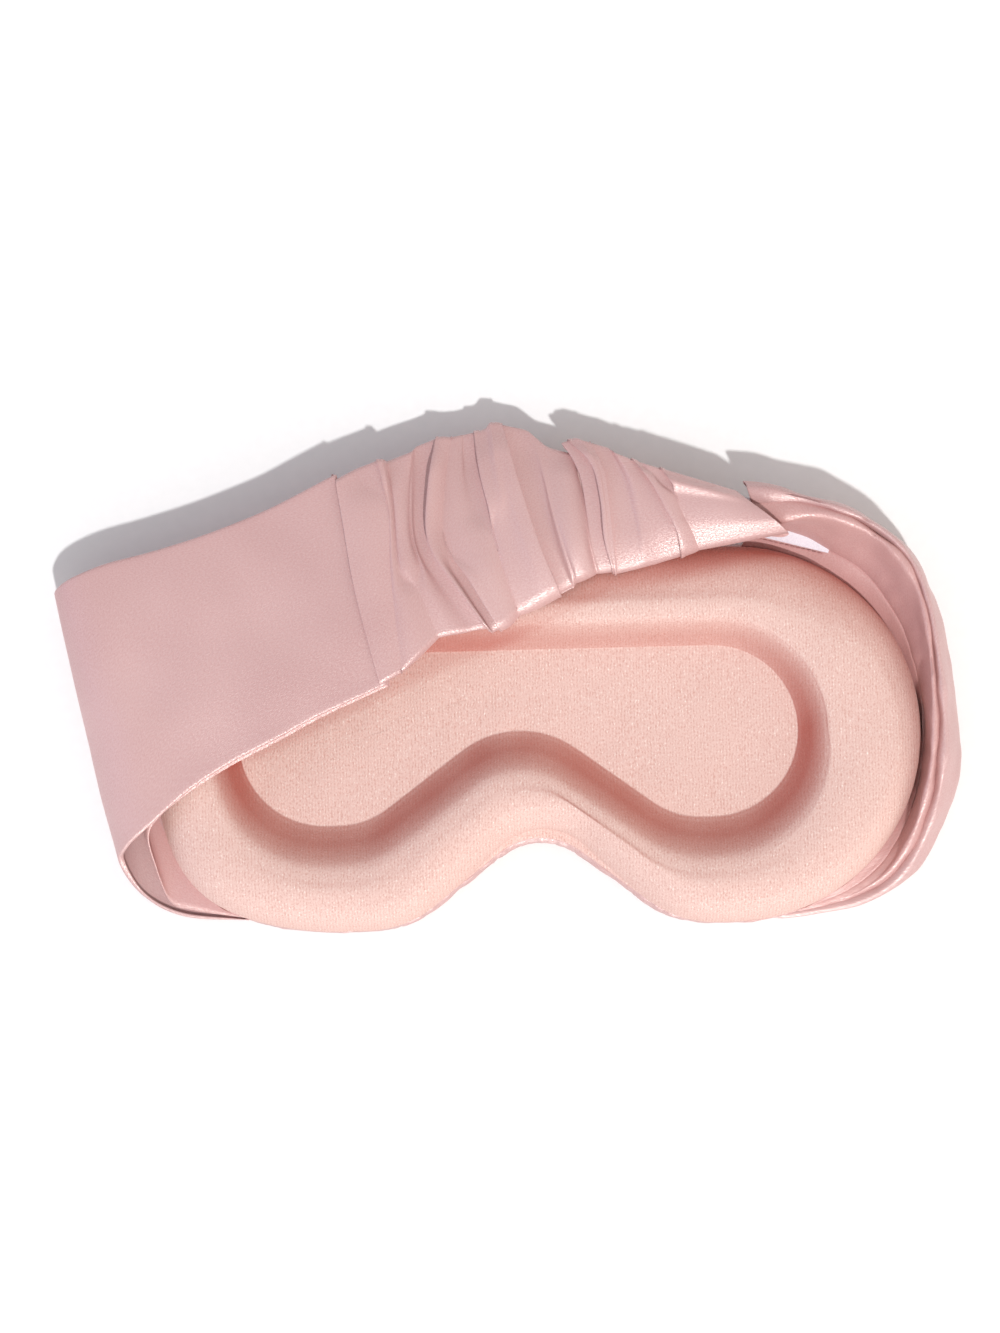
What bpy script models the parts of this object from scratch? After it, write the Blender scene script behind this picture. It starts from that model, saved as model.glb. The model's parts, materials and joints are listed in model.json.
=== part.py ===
"""Satin sleep mask with a moulded foam back pad and a wide gathered elastic headband.

It lies with its satin front face down and its eye side up. The headband is folded over the
back of the mask towards its top edge, as the mask is stored.
Frame: metres, +Z up, +Y towards the top edge of the mask, origin at the centre of the mask
on the face that it rests on. Sizes below are in millimetres and become metres in grid_object.
"""

import math

import bpy
import numpy as np
from mathutils import Matrix, Vector

MM = 0.001

# Eye mask, seen from the back. The outline and the eye recess are one family of shapes.
PAD_LENGTH = 206.8        # across both eyes
PAD_HEIGHT = 100.4
PAD_LOBE_X = 47.0         # middle of each cheek lobe
PAD_LOBE_RADIUS = 30.0
NOSE_NOTCH_DEPTH = 23.5   # of the nose notch, up from the cheek lobes
NOSE_NOTCH_RADIUS = 18.0
RECESS_LENGTH = 151.0     # one recess runs across both eyes
RECESS_SHIFT = -5.0       # the recess lies a little to the left of the middle of the pad
RECESS_HEIGHT = 46.0
RECESS_RISE = 1.0         # middle of the recess above the middle of the pad
RECESS_LOBE_X = 49.0
RECESS_LOBE_RADIUS = 22.0
RECESS_BRIDGE_DEPTH = 24.5
RECESS_BRIDGE_RADIUS = 26.0

# Layers of the mask, from the table up.
SATIN = 0.7
WADDING = 2.0
BLACKOUT = 0.6
FOAM_RIM = 12.4           # moulded foam at the crown of its rim
FOAM_FLOOR = 2.6          # and at the bottom of the eye recess
KNIT = 0.7
GAP = 0.35                # between touching layers
BINDING_RADIUS = 0.9
ROOT_TAB = 0.8            # seam allowance that joins a wing to the mask
ROOT_START = -38.0        # its lower end, in degrees round the side of the pad
LEFT_ROOT_END = 36.0      # and its upper end at the left
RIGHT_ROOT_END = 34.0     # and at the right
ROOT_MARGIN = 2.0         # degrees of the left wing past each end of its seam allowance

# Headband.
WING_SKIN = 0.6           # thickness of each wing layer
WING_PLIES = 1.8          # between the middles of a wing's two layers
WING_LIFT = 2.4           # air under a wing where it lies over the knit
BAND_SKIN = 0.8           # thickness of the gathered casing
BAND_PLIES = 4.4          # between the casing's two layers
ELASTIC = 1.0
ELASTIC_SHARE = 0.62      # width of the elastic over the width of the casing
ELASTIC_INSET = 4.7       # of each end of the elastic from the end of the casing
TACK_WIDTH = 1.4
TACK_SHARE = 0.9          # length of a tack over the width of the elastic
PLEATS = 9                # gathers in the casing
PLEAT_HEIGHT = 1.1
BAND_LIFT = 3.0           # height of the casing's middle over the knit
SEAM_WIDTH = 2.6
SEAM_HEIGHT = 2.4
SEAM_GAP = 0.5            # between a seam and the cloth on each side of it
LEFT_SEAM_REACH = 60.4    # from the left end of the pad to the lower end of the left seam
RIGHT_SEAM_REACH = 39.2   # and the same at the right
LEFT_FOLD = 26.0          # reach of the left wing's fold beyond the pad, at its top edge
RIGHT_BULGE = 10.8        # reach of the right wing beyond the pad

# Care label, sewn in behind the top edge.
LABEL_TURN = 15.0         # degrees round the top right corner of the pad
LABEL_WIDTH = 20.0
LABEL_LENGTH = 6.4
LABEL_THICKNESS = 0.5
LABEL_TACK = 1.6

# Heights that follow from the layers.
WADDING_Z = SATIN + GAP
BLACKOUT_Z = WADDING_Z + WADDING + GAP
FOAM_Z = BLACKOUT_Z + BLACKOUT + GAP
RIM_Z = FOAM_Z + FOAM_RIM
FLOOR_Z = FOAM_Z + FOAM_FLOOR
PAD_TOP = RIM_Z + GAP + KNIT
SEAM_Z = FOAM_Z + 0.5
HALF_LENGTH = PAD_LENGTH / 2
HALF_HEIGHT = PAD_HEIGHT / 2
SKIN_REACH = GAP + KNIT / 2
BINDING_REACH = GAP + BINDING_RADIUS
SEAM_HALF = SEAM_WIDTH / 2 + SEAM_GAP
LABEL_REACH = 2 * GAP + KNIT + LABEL_TACK / 2
LABEL_Z = SEAM_Z + BINDING_RADIUS + GAP + LABEL_TACK / 2
TAB_REACH = BINDING_REACH + BINDING_RADIUS + GAP + ROOT_TAB / 2
ROOT_REACH = TAB_REACH + ROOT_TAB / 2 + WING_PLIES / 2 + WING_SKIN / 2 + GAP
WING_Z = PAD_TOP + WING_LIFT + WING_SKIN / 2 + WING_PLIES / 2
BAND_Z = PAD_TOP + BAND_LIFT + BAND_PLIES / 2
WING_LOW_Z = WING_SKIN / 2 + WING_PLIES / 2 + 2 * GAP

PINK = {
    "satin": ((0.80, 0.56, 0.54), 0.38),
    "knit": ((0.86, 0.60, 0.55), 0.75),
    "foam": ((0.90, 0.80, 0.74), 0.95),
    "blackout": ((0.16, 0.13, 0.14), 0.90),
    "thread": ((0.74, 0.50, 0.49), 0.60),
    "elastic": ((0.88, 0.74, 0.72), 0.85),
    "label": ((0.92, 0.90, 0.92), 0.55),
}


def tangent_angle(near, near_radius, far, far_radius):
    """Heading of the line that leaves the first arc and joins the second on its other side."""
    across = np.subtract(far, near)
    lean = math.asin(min(0.98, (near_radius + far_radius) / math.hypot(*across)))
    return math.atan2(across[1], across[0]) - lean


def arc(centre, radius, start, end, steps):
    """Points along an arc, from the start angle up to the end angle, the end left out."""
    angles = np.linspace(start, end, steps, endpoint=False)
    return [(centre[0] + radius * math.cos(a), centre[1] + radius * math.sin(a)) for a in angles]


def goggle(length, height, middle, lobe_x, lobe_radius, notch_depth, notch_radius, grow):
    """Closed outline of the mask family, anticlockwise, moved outwards by grow.

    Half of it is a nose notch arc, a straight flank, a cheek lobe arc, a half circle round the
    side and a straight top edge. The other half mirrors it.
    """
    side_radius = height / 2
    side = (length / 2 - side_radius, middle)
    bottom = middle - height / 2
    lobe = (min(lobe_x, side[0]), bottom + lobe_radius)
    notch = (0.0, bottom + notch_depth - notch_radius)
    flank = tangent_angle(notch, notch_radius, lobe, lobe_radius)
    half = arc(notch, notch_radius - grow, math.pi / 2, flank + math.pi / 2, 4)
    leaves = np.array(arc(notch, notch_radius - grow, flank + math.pi / 2, 0, 1)[0])
    meets = np.array(arc(lobe, lobe_radius + grow, flank - math.pi / 2, 0, 1)[0])
    half += [tuple(leaves + (meets - leaves) * share) for share in (0.0, 0.5)]
    half += arc(lobe, lobe_radius + grow, flank - math.pi / 2, -math.pi / 2, 4)
    half += [(lobe[0], bottom - grow)]
    half += arc(side, side_radius + grow, -math.pi / 2, math.pi / 2, 14)
    half += [(side[0] * share, middle + side_radius + grow) for share in (1.0, 0.62, 0.3)]
    mirrored = [(-x, y) for x, y in reversed(half[1:])]
    return np.array(half + [(0.0, middle + side_radius + grow)] + mirrored)


def pad_outline(grow):
    return goggle(PAD_LENGTH, PAD_HEIGHT, 0.0, PAD_LOBE_X, PAD_LOBE_RADIUS,
                  NOSE_NOTCH_DEPTH, NOSE_NOTCH_RADIUS, grow)


def recess_outline(grow):
    middle = goggle(RECESS_LENGTH, RECESS_HEIGHT, RECESS_RISE, RECESS_LOBE_X, RECESS_LOBE_RADIUS,
                    RECESS_BRIDGE_DEPTH, RECESS_BRIDGE_RADIUS, grow)
    return middle + (RECESS_SHIFT, 0.0)


def ring(points, z):
    return np.column_stack([points, np.full(len(points), z)])


def through(points, count):
    """count points on a smooth curve through the given ones (Catmull-Rom)."""
    points = np.asarray(points, float)
    padded = np.vstack([2 * points[0] - points[1], points, 2 * points[-1] - points[-2]])
    places = np.linspace(0, len(points) - 1, count)
    index = np.minimum(places.astype(int), len(points) - 2)
    t = (places - index)[:, None]
    a, b, c, d = (padded[index + k] for k in range(4))
    return 0.5 * (2 * b + (c - a) * t + (2 * a - 5 * b + 4 * c - d) * t**2
                  + (3 * b - a - 3 * c + d) * t**3)


def grid_normals(grid):
    along = np.gradient(grid, axis=1)
    across = np.gradient(grid, axis=0)
    normals = np.cross(along, across)
    return normals / np.linalg.norm(normals, axis=2, keepdims=True)


def shifted(grid, distance):
    """The grid moved along its own normals, for one ply of a folded cloth."""
    return grid + grid_normals(grid) * distance


def make_materials():
    made = {}
    for name, (colour, roughness) in PINK.items():
        material = bpy.data.materials.new(name)
        material.use_nodes = True
        shader = material.node_tree.nodes["Principled BSDF"]
        shader.inputs["Base Color"].default_value = (*colour, 1)
        shader.inputs["Roughness"].default_value = roughness
        shader.inputs["Metallic"].default_value = 0
        made[name] = material
    return made


class Maker:
    """Turns grids of points into named objects under the empty of the body that they move with."""

    def __init__(self):
        for leftover in list(bpy.data.objects):
            bpy.data.objects.remove(leftover)
        self.collection = bpy.data.collections.new("sleep_mask")
        bpy.context.scene.collection.children.link(self.collection)
        self.materials = make_materials()

    def body(self, name, place):
        """An empty at a body's joint, in millimetres."""
        empty = bpy.data.objects.new(name, None)
        empty.location = Vector(place) * MM
        self.collection.objects.link(empty)
        return empty

    def add(self, name, mesh, body, material):
        mesh.transform(self.inverse_place(body))
        made = bpy.data.objects.new(name, mesh)
        made.parent = body
        mesh.materials.append(self.materials[material])
        mesh.shade_smooth()
        mesh.set_sharp_from_angle(angle=math.radians(40))
        self.collection.objects.link(made)
        return made

    @staticmethod
    def inverse_place(body):
        return Matrix.Translation(-body.location)

    def rings(self, name, rings, body, material, caps=(True, True)):
        """A loft through closed rings with equal numbers of points, capped where asked."""
        count = len(rings[0])
        points = np.vstack(rings) * MM
        faces = []
        for level in range(len(rings) - 1):
            low, high = level * count, (level + 1) * count
            for i in range(count):
                j = (i + 1) % count
                faces.append((low + i, low + j, high + j, high + i))
        if caps[0]:
            faces.append(tuple(reversed(range(count))))
        if caps[1]:
            last = (len(rings) - 1) * count
            faces.append(tuple(range(last, last + count)))
        mesh = bpy.data.meshes.new(name)
        mesh.from_pydata(points.tolist(), [], faces)
        return self.add(name, mesh, body, material)

    def curve(self, name, outline, height, body, material):
        """A closed flat poly curve through the outline's points, at a height."""
        data = bpy.data.curves.new(name, "CURVE")
        data.dimensions = "2D"
        spline = data.splines.new("POLY")
        spline.points.add(len(outline) - 1)
        points = np.column_stack([ring(outline, 0.0) * MM, np.ones(len(outline))])
        spline.points.foreach_set("co", points.ravel())
        spline.use_cyclic_u = True
        made = bpy.data.objects.new(name, data)
        made.parent = body
        made.location = Vector((0, 0, height * MM)) - body.location
        data.materials.append(self.materials[material])
        self.collection.objects.link(made)
        return data

    def layer(self, name, outline, low, thickness, body, material):
        """A flat layer of the mask, cut to an outline."""
        data = self.curve(name, outline, low + thickness / 2, body, material)
        data.fill_mode = "BOTH"
        data.extrude = thickness / 2 * MM

    def roll(self, name, outline, height, radius, body, material):
        """A round tube all along the outline."""
        data = self.curve(name, outline, height, body, material)
        data.dimensions = "3D"
        data.bevel_depth = radius * MM
        data.bevel_resolution = 1

    def sheet(self, name, grid, thickness, body, material):
        """A cloth as an open grid surface with Solidify, half its thickness to each side."""
        rows, columns = grid.shape[:2]
        faces = [(r * columns + c, r * columns + c + 1,
                  (r + 1) * columns + c + 1, (r + 1) * columns + c)
                 for r in range(rows - 1) for c in range(columns - 1)]
        mesh = bpy.data.meshes.new(name)
        mesh.from_pydata((grid.reshape(-1, 3) * MM).tolist(), [], faces)
        made = self.add(name, mesh, body, material)
        thicken(made, thickness, 0.0)
        return made

    def bar(self, name, start, end, width, height, body, material):
        """A straight bar with chamfered edges between two points."""
        start, end = Vector(start), Vector(end)
        along = end - start
        bpy.ops.mesh.primitive_cube_add(size=1)
        made = bpy.context.object
        made.name = name
        mesh = made.data
        mesh.name = name
        sizes = (along.length * MM, width * MM, height * MM)
        for vertex in mesh.vertices:
            vertex.co = [c * s for c, s in zip(vertex.co, sizes)]
        mesh.transform(along.to_track_quat("X", "Z").to_matrix().to_4x4())
        for vertex in mesh.vertices:
            vertex.co += (start + end) / 2 * MM - body.location
        for collection in list(made.users_collection):
            collection.objects.unlink(made)
        self.collection.objects.link(made)
        made.parent = body
        mesh.materials.append(self.materials[material])
        bevel = made.modifiers.new("soft_edges", "BEVEL")
        bevel.width = min(width, height) * 0.22 * MM
        bevel.segments = 1
        return made


def thicken(obj, thickness, side):
    """Solidify: side is 1 outwards along the normals, -1 inwards and 0 both ways."""
    solid = obj.modifiers.new("thickness", "SOLIDIFY")
    solid.thickness = thickness * MM
    solid.offset = side
    solid.use_even_offset = True
    return solid


def pad_profile(skin):
    """Rings over the top of the pad, from the foot of its side to the floor of the recess.

    skin moves every ring outwards from the foam by that much.
    """
    foot = [(-1.2, FOAM_Z), (0.0, FOAM_Z + 2.0)]
    side = [(0.0, FOAM_Z + 4.4), (-2.2, RIM_Z - 2.2), (-6.0, RIM_Z - 0.5)]
    wall = [(9.0, RIM_Z), (5.0, RIM_Z - 1.4), (2.0, FLOOR_Z + 2.6), (-0.4, FLOOR_Z + 0.3),
            (-3.0, FLOOR_Z)]
    if skin:
        lower = [ring(pad_outline(skin), SEAM_Z + BINDING_RADIUS + 2 * GAP)]
    else:
        lower = [ring(pad_outline(grow), z) for grow, z in foot]
    upper = [ring(pad_outline(grow + skin), z + skin * 0.5) for grow, z in side]
    inner = [ring(recess_outline(grow - skin), z + skin) for grow, z in wall]
    return lower + upper + inner


def build_mask(maker, body):
    """The eye mask: satin front, wadding, blackout lining, moulded foam, knit and its edging."""
    # Satin dish: its inner face is modelled and it is thickened outwards, so it rests at zero.
    dish = [(SKIN_REACH, SEAM_Z - BINDING_RADIUS - GAP), (SKIN_REACH, WADDING_Z + 1.2),
            (-0.8, SATIN + 0.25), (-5.0, SATIN)]
    front = maker.rings("front_panel", [ring(pad_outline(g), z) for g, z in dish], body,
                        "satin", caps=(False, True))
    thicken(front, SATIN, -1.0)
    maker.layer("front_wadding", pad_outline(-3.2), WADDING_Z, WADDING, body, "foam")
    maker.layer("blackout_lining", pad_outline(-2.4), BLACKOUT_Z, BLACKOUT, body, "blackout")
    maker.rings("foam_core", pad_profile(0.0), body, "foam")
    knit = maker.rings("knit_cover", pad_profile(GAP), body, "knit", caps=(False, True))
    thicken(knit, KNIT, 1.0)
    maker.roll("edge_binding", pad_outline(BINDING_REACH), SEAM_Z, BINDING_RADIUS, body, "satin")


def side_arc(side, reach, degrees, z):
    """A point beside the pad: side is 1 right or -1 left, reach outside its outline."""
    radius = HALF_HEIGHT + reach
    angle = math.radians(degrees)
    middle = HALF_LENGTH - HALF_HEIGHT
    return (side * (middle + radius * math.cos(angle)), radius * math.sin(angle), z)


def left_seam():
    """Lower and upper end of the seam between the left wing and the gathered band."""
    x = LEFT_SEAM_REACH - HALF_LENGTH
    return np.array([(x, 13.4, BAND_Z), (x - 12.0, HALF_HEIGHT + 20.1, BAND_Z - 2.3)])


def right_seam():
    """Lower and upper end of the seam between the gathered band and the right wing."""
    x = HALF_LENGTH - RIGHT_SEAM_REACH
    return np.array([(x, HALF_HEIGHT + 4.9, BAND_Z - 5.2), (x - 4.0, HALF_HEIGHT + 17.0, BAND_Z - 7.3)])


def left_wing_grid():
    """Middle surface of the left wing, rows from its lower edge to its upper edge.

    Each row leaves the side seam low down, turns over in the fold beyond the pad and comes
    back above the pad as far as the seam with the gathered band.
    """
    fold = -HALF_LENGTH - LEFT_FOLD
    top = HALF_HEIGHT
    middle_z = (WING_LOW_Z + WING_Z) / 2
    low_end, high_end = left_seam() - (SEAM_HALF, 0.4, 1.0)
    lower = [(fold + 17.5, -31.0, WING_LOW_Z + 0.4), (fold + 15.6, -30.2, middle_z),
             (fold + 18.5, -27.0, WING_Z - 1.6), (fold + 26.0, -20.5, WING_Z),
             (low_end[0] - 38.6, -5.0, WING_Z + 0.4), (low_end[0] - 18.6, 4.5, WING_Z + 0.6), low_end]
    upper = [(fold + 5.0, top - 12.8, WING_LOW_Z + 0.4), (fold, top - 12.0, middle_z),
             (fold + 3.4, top - 10.0, WING_Z - 2.4), (fold + 12.6, top - 3.5, WING_Z - 1.4),
             (high_end[0] - 37.6, top + 3.2, WING_Z - 1.8), (high_end[0] - 16.1, top + 11.5, WING_Z - 2.0),
             high_end]
    first = ROOT_START - ROOT_MARGIN
    turn = LEFT_ROOT_END + ROOT_MARGIN - first
    rows = []
    for share in np.linspace(0, 1, 9):
        root = side_arc(-1, ROOT_REACH, first + turn * share, WING_LOW_Z)
        points = np.array(lower) * (1 - share) + np.array(upper) * share
        rows.append(through([root, *points], 20))
    return np.array(rows)


def right_wing_grid():
    """Middle surface of the right wing, rows from its base rail to its top rail.

    It starts along the right side seam, stands up round the side and the top corner of the
    pad, and ends at the gathered band.
    """
    bulge = HALF_LENGTH + RIGHT_BULGE
    top = HALF_HEIGHT
    high = PAD_TOP + 4.0
    low = WING_LOW_Z
    low_end, high_end = right_seam() + (SEAM_HALF, 0.8, -1.6)
    base = [side_arc(1, ROOT_REACH, angle, low) for angle in (-46, -34, -20, 0, 20, 37)]
    base += [(HALF_LENGTH - 11.0, top - 5.0, low + 0.4), (HALF_LENGTH - 19.0, top + 4.8, low + 2.0),
             (HALF_LENGTH - 26.5, top + 10.8, low + 8.0), low_end]
    swell = [(bulge - 17.0, -44.0, low + 2.2), (bulge - 8.0, -34.5, 4.9), (bulge - 2.6, -20.0, 6.5),
             (bulge, 0.0, 7.5), (bulge - 1.2, 17.5, 8.0), (bulge - 6.0, 34.5, 8.5),
             (bulge - 14.0, top - 2.0, 9.5), (bulge - 24.5, top + 7.4, 11.0),
             (bulge - 38.0, top + 14.0, 13.5), (low_end + high_end) / 2]
    crest = [(bulge - 16.5, -43.0, 7.4), (bulge - 12.0, -32.6, 10.5), (bulge - 9.2, -20.5, 15.5),
             (bulge - 7.8, 0.5, high), (bulge - 8.4, 18.0, high + 0.5), (bulge - 9.2, 34.5, high + 0.5),
             (bulge - 12.6, top, high + 0.5), (bulge - 25.5, top + 8.6, high),
             (bulge - 39.5, top + 15.6, high - 3.4), high_end]
    rails = np.array([through(rail, 30) for rail in (base, swell, crest)])
    rows = [through(rails[:, k], 7) for k in range(rails.shape[1])]
    return np.array(rows).transpose(1, 0, 2)


def band_grid(rows=7, columns=46, pleat=0.0, share=1.0, inset=0.0):
    """Middle surface of the gathered band, rows from its lower edge to its upper edge.

    share narrows it about its middle, inset shortens it at both ends and pleat is the height
    of its gathers.
    """
    top = HALF_HEIGHT
    low_start, high_start = left_seam() + (SEAM_HALF, 0.4, 0.0)
    low_end, high_end = right_seam() + (0.4 - SEAM_HALF, -0.8, 1.6)
    low_span, high_span = low_end[0] - low_start[0], high_end[0] - high_start[0]
    lower = [low_start, (low_start[0] + 0.12 * low_span, 24.5, BAND_Z),
             (low_start[0] + 0.29 * low_span, 28.5, BAND_Z),
             (low_start[0] + 0.52 * low_span, top - 10.0, BAND_Z),
             (low_start[0] + 0.76 * low_span, top - 3.6, BAND_Z), low_end]
    upper = [high_start, (high_start[0] + 0.16 * high_span, top + 30.0, BAND_Z - 2.4),
             (high_start[0] + 0.39 * high_span, top + 35.4, BAND_Z - 1.8),
             (high_start[0] + 0.62 * high_span, top + 30.5, BAND_Z - 3.0),
             (high_start[0] + 0.82 * high_span, top + 21.5, BAND_Z - 5.0), high_end]
    edges = [through(edge, columns + 40) for edge in (lower, upper)]
    steps = np.linspace(0, 1, columns + 40)
    kept = np.linspace(inset / low_span, 1 - inset / low_span, columns)
    low, high = (np.column_stack([np.interp(kept, steps, edge[:, axis]) for axis in range(3)])
                 for edge in edges)
    widths = np.linspace(0.5 - share / 2, 0.5 + share / 2, rows)
    grid = np.array([low * (1 - w) + high * w for w in widths])
    wave = pleat * np.cos(2 * math.pi * PLEATS * kept)
    swell = np.sin(math.pi * np.linspace(0, 1, rows)) * 0.6 + 0.4
    grid[:, :, 2] += swell[:, None] * wave[None, :]
    return grid


def build_wing(maker, side, grid, body):
    """The two plies of a wing, outer and lining."""
    for ply, distance in (("outer", WING_PLIES / 2), ("lining", -WING_PLIES / 2)):
        maker.sheet(f"{side}_wing_{ply}", shifted(grid, distance), WING_SKIN, body, "satin")


def build_root_tab(maker, name, side, first, last, body):
    """The strip of seam allowance where a wing is sewn to the side of the mask."""
    angles = np.linspace(first, last, 12)
    low, high = SEAM_Z - 2.2, SEAM_Z + 0.6
    strip = np.array([[side_arc(side, TAB_REACH, angle, z) for angle in angles]
                      for z in (low, high)])
    maker.sheet(name, strip, ROOT_TAB, body, "satin")


def build_band(maker, body):
    """Gathered casing with its elastic, the seams to both wings and the tacks in the elastic."""
    outer = band_grid(pleat=PLEAT_HEIGHT)
    outer[:, :, 2] += BAND_PLIES / 2
    maker.sheet("band_casing_outer", outer, BAND_SKIN, body, "satin")
    lining = band_grid(columns=30)
    lining[:, :, 2] -= BAND_PLIES / 2
    maker.sheet("band_casing_lining", lining, BAND_SKIN, body, "satin")
    elastic = band_grid(rows=3, columns=30, share=ELASTIC_SHARE, inset=ELASTIC_INSET)
    maker.sheet("band_elastic", elastic, ELASTIC, body, "elastic")
    for name, (low, high) in (("left_band_seam", left_seam()), ("right_band_seam", right_seam())):
        maker.bar(name, low, high, SEAM_WIDTH, SEAM_HEIGHT, body, "satin")
    tack_inset = ELASTIC_INSET - TACK_WIDTH / 2 - GAP - ELASTIC / 2
    tacked = band_grid(rows=3, columns=30, share=ELASTIC_SHARE * TACK_SHARE, inset=tack_inset)
    for name, ends in (("left_elastic_tack", tacked[:, 0]), ("right_elastic_tack", tacked[:, -1])):
        maker.bar(name, ends[0], ends[-1], TACK_WIDTH, ELASTIC, body, "thread")


def label_frame():
    """Middle of the label's sewn edge, and the directions along that edge and out over the flap."""
    turn = math.radians(LABEL_TURN)
    along = np.array([math.cos(turn), -math.sin(turn), 0.0])
    out = np.array([math.sin(turn), math.cos(turn), 0.0])
    edge = np.array(side_arc(1, LABEL_REACH, 90 - LABEL_TURN, LABEL_Z))
    return edge, along, out


def label_hinge():
    edge, _, out = label_frame()
    return edge + out * (LABEL_TACK / 2 + GAP)


def build_label(maker, mask, label):
    """The care label and the tack that holds its sewn edge."""
    edge, along, out = label_frame()
    ends = [edge + along * side * LABEL_WIDTH / 2 for side in (-1, 1)]
    maker.bar("label_tack", ends[0], ends[1], LABEL_TACK, LABEL_TACK, mask, "thread")
    hinge = label_hinge()
    flap = np.array([[hinge + along * side * LABEL_WIDTH + out * LABEL_LENGTH * share
                      for share in (0, 0.5, 1)] for side in (-0.5, -0.15, 0.15, 0.5)])
    maker.sheet("care_label", flap, LABEL_THICKNESS, label, "label")


def main():
    maker = Maker()
    mask = maker.body("mask_body", (0, 0, 0))
    band = maker.body("band_body", (0, HALF_HEIGHT, BAND_Z))
    label = maker.body("label_body", label_hinge())
    build_mask(maker, mask)
    build_wing(maker, "left", left_wing_grid(), mask)
    build_wing(maker, "right", right_wing_grid(), mask)
    build_root_tab(maker, "left_wing_root", -1, ROOT_START, LEFT_ROOT_END, mask)
    build_root_tab(maker, "right_wing_root", 1, ROOT_START, RIGHT_ROOT_END, mask)
    build_band(maker, band)
    build_label(maker, mask, label)


main()
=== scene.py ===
"""Looks of a satin sleep mask: a moulded knit pad, a satin front and a wide gathered headband.

The mask lies on its satin front, eye side up, and its headband is folded over the back.
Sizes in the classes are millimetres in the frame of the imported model; grids become metres
when they are made into meshes.
"""

import json
import logging
import math
from dataclasses import dataclass
from enum import Enum

import bmesh
import bpy
import numpy as np
from numpy.typing import NDArray
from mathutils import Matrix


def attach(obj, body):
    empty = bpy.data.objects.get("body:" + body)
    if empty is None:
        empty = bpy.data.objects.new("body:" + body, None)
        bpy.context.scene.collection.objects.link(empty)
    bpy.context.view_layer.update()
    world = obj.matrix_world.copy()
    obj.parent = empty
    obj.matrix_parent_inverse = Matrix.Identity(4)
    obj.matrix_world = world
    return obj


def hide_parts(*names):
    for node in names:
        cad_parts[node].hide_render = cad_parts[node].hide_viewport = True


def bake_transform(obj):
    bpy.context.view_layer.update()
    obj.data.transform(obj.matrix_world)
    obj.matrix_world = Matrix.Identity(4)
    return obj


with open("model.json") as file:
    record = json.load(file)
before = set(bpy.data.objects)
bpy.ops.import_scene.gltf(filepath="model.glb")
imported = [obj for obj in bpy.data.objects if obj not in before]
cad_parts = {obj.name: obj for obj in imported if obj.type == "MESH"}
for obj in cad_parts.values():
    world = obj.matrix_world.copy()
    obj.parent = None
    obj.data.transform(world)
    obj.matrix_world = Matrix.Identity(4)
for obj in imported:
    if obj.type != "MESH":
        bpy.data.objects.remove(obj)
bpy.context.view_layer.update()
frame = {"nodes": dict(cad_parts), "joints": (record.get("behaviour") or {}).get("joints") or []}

Array = NDArray[np.float64]
MM = 0.001
WING_PLY = 0.35       # thickness of one ply of a wing
SATIN_PLY = 0.3       # and of the front and the casing
RELAX_FRAMES = 20
RELAX_CAP = 0.3       # furthest that the simulation moves a point, so that outlines stay even
SAME_PLACE = 1e-6     # metres within which two points are one
# x and y of the band's lower edge, where it lies over the knit
BAND_EDGE = ((-75, -41, -25, -12, 8, 21, 39, 45, 70), (-1.5, 14.2, 21, 26, 35, 41, 44, 46, 51))
LOG = logging.getLogger("sleep_mask")


# ---------------------------------------------------------------- curves and surfaces


def catmull(points: Array, count: int) -> Array:
    """Smooth curve through points, along their first axis, by Catmull-Rom splines.

    Between b and c, with neighbours a and d: (2b + (c-a)t + (2a-5b+4c-d)t^2 + (3b-a-3c+d)t^3)/2.

    Args:
        points: control points, one per row; each row may be a point or a whole line of points.
        count: how many points to return.

    Returns:
        The curve's points, evenly spaced in the spline's parameter.
    """
    points = np.asarray(points, float)
    padded = np.concatenate([2 * points[:1] - points[1:2], points, 2 * points[-1:] - points[-2:-1]])
    places = np.linspace(0, len(points) - 1, count)
    index = np.minimum(places.astype(int), len(points) - 2)
    t = (places - index).reshape(-1, *[1] * (points.ndim - 1))
    a, b, c, d = (padded[index + k] for k in range(4))
    return 0.5 * (2 * b + (c - a) * t + (2 * a - 5 * b + 4 * c - d) * t**2
                  + (3 * b - a - 3 * c + d) * t**3)


def even(points: Array, count: int) -> Array:
    """A polyline's points spread evenly by length, through its Catmull-Rom curve."""
    fine = catmull(points, 40 * len(points))
    run = np.concatenate([[0], np.cumsum(np.linalg.norm(np.diff(fine, axis=0), axis=1))])
    wanted = np.linspace(0, run[-1], count)
    return np.column_stack([np.interp(wanted, run, fine[:, k]) for k in range(fine.shape[1])])


def soften(values: Array, sigma: float, axis: int, closed: bool = False) -> Array:
    """Gaussian smoothing along one axis, with sigma in samples; open ends are held."""
    reach = max(1, int(3 * sigma))
    offsets = np.arange(-reach, reach + 1)
    weights = np.exp(-0.5 * (offsets / sigma) ** 2)
    weights /= weights.sum()
    size = values.shape[axis]
    base = np.arange(size)
    total = np.zeros_like(values, dtype=float)
    for offset, weight in zip(offsets, weights):
        index = (base + offset) % size if closed else np.clip(base + offset, 0, size - 1)
        total += weight * np.take(values, index, axis=axis)
    return total


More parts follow.
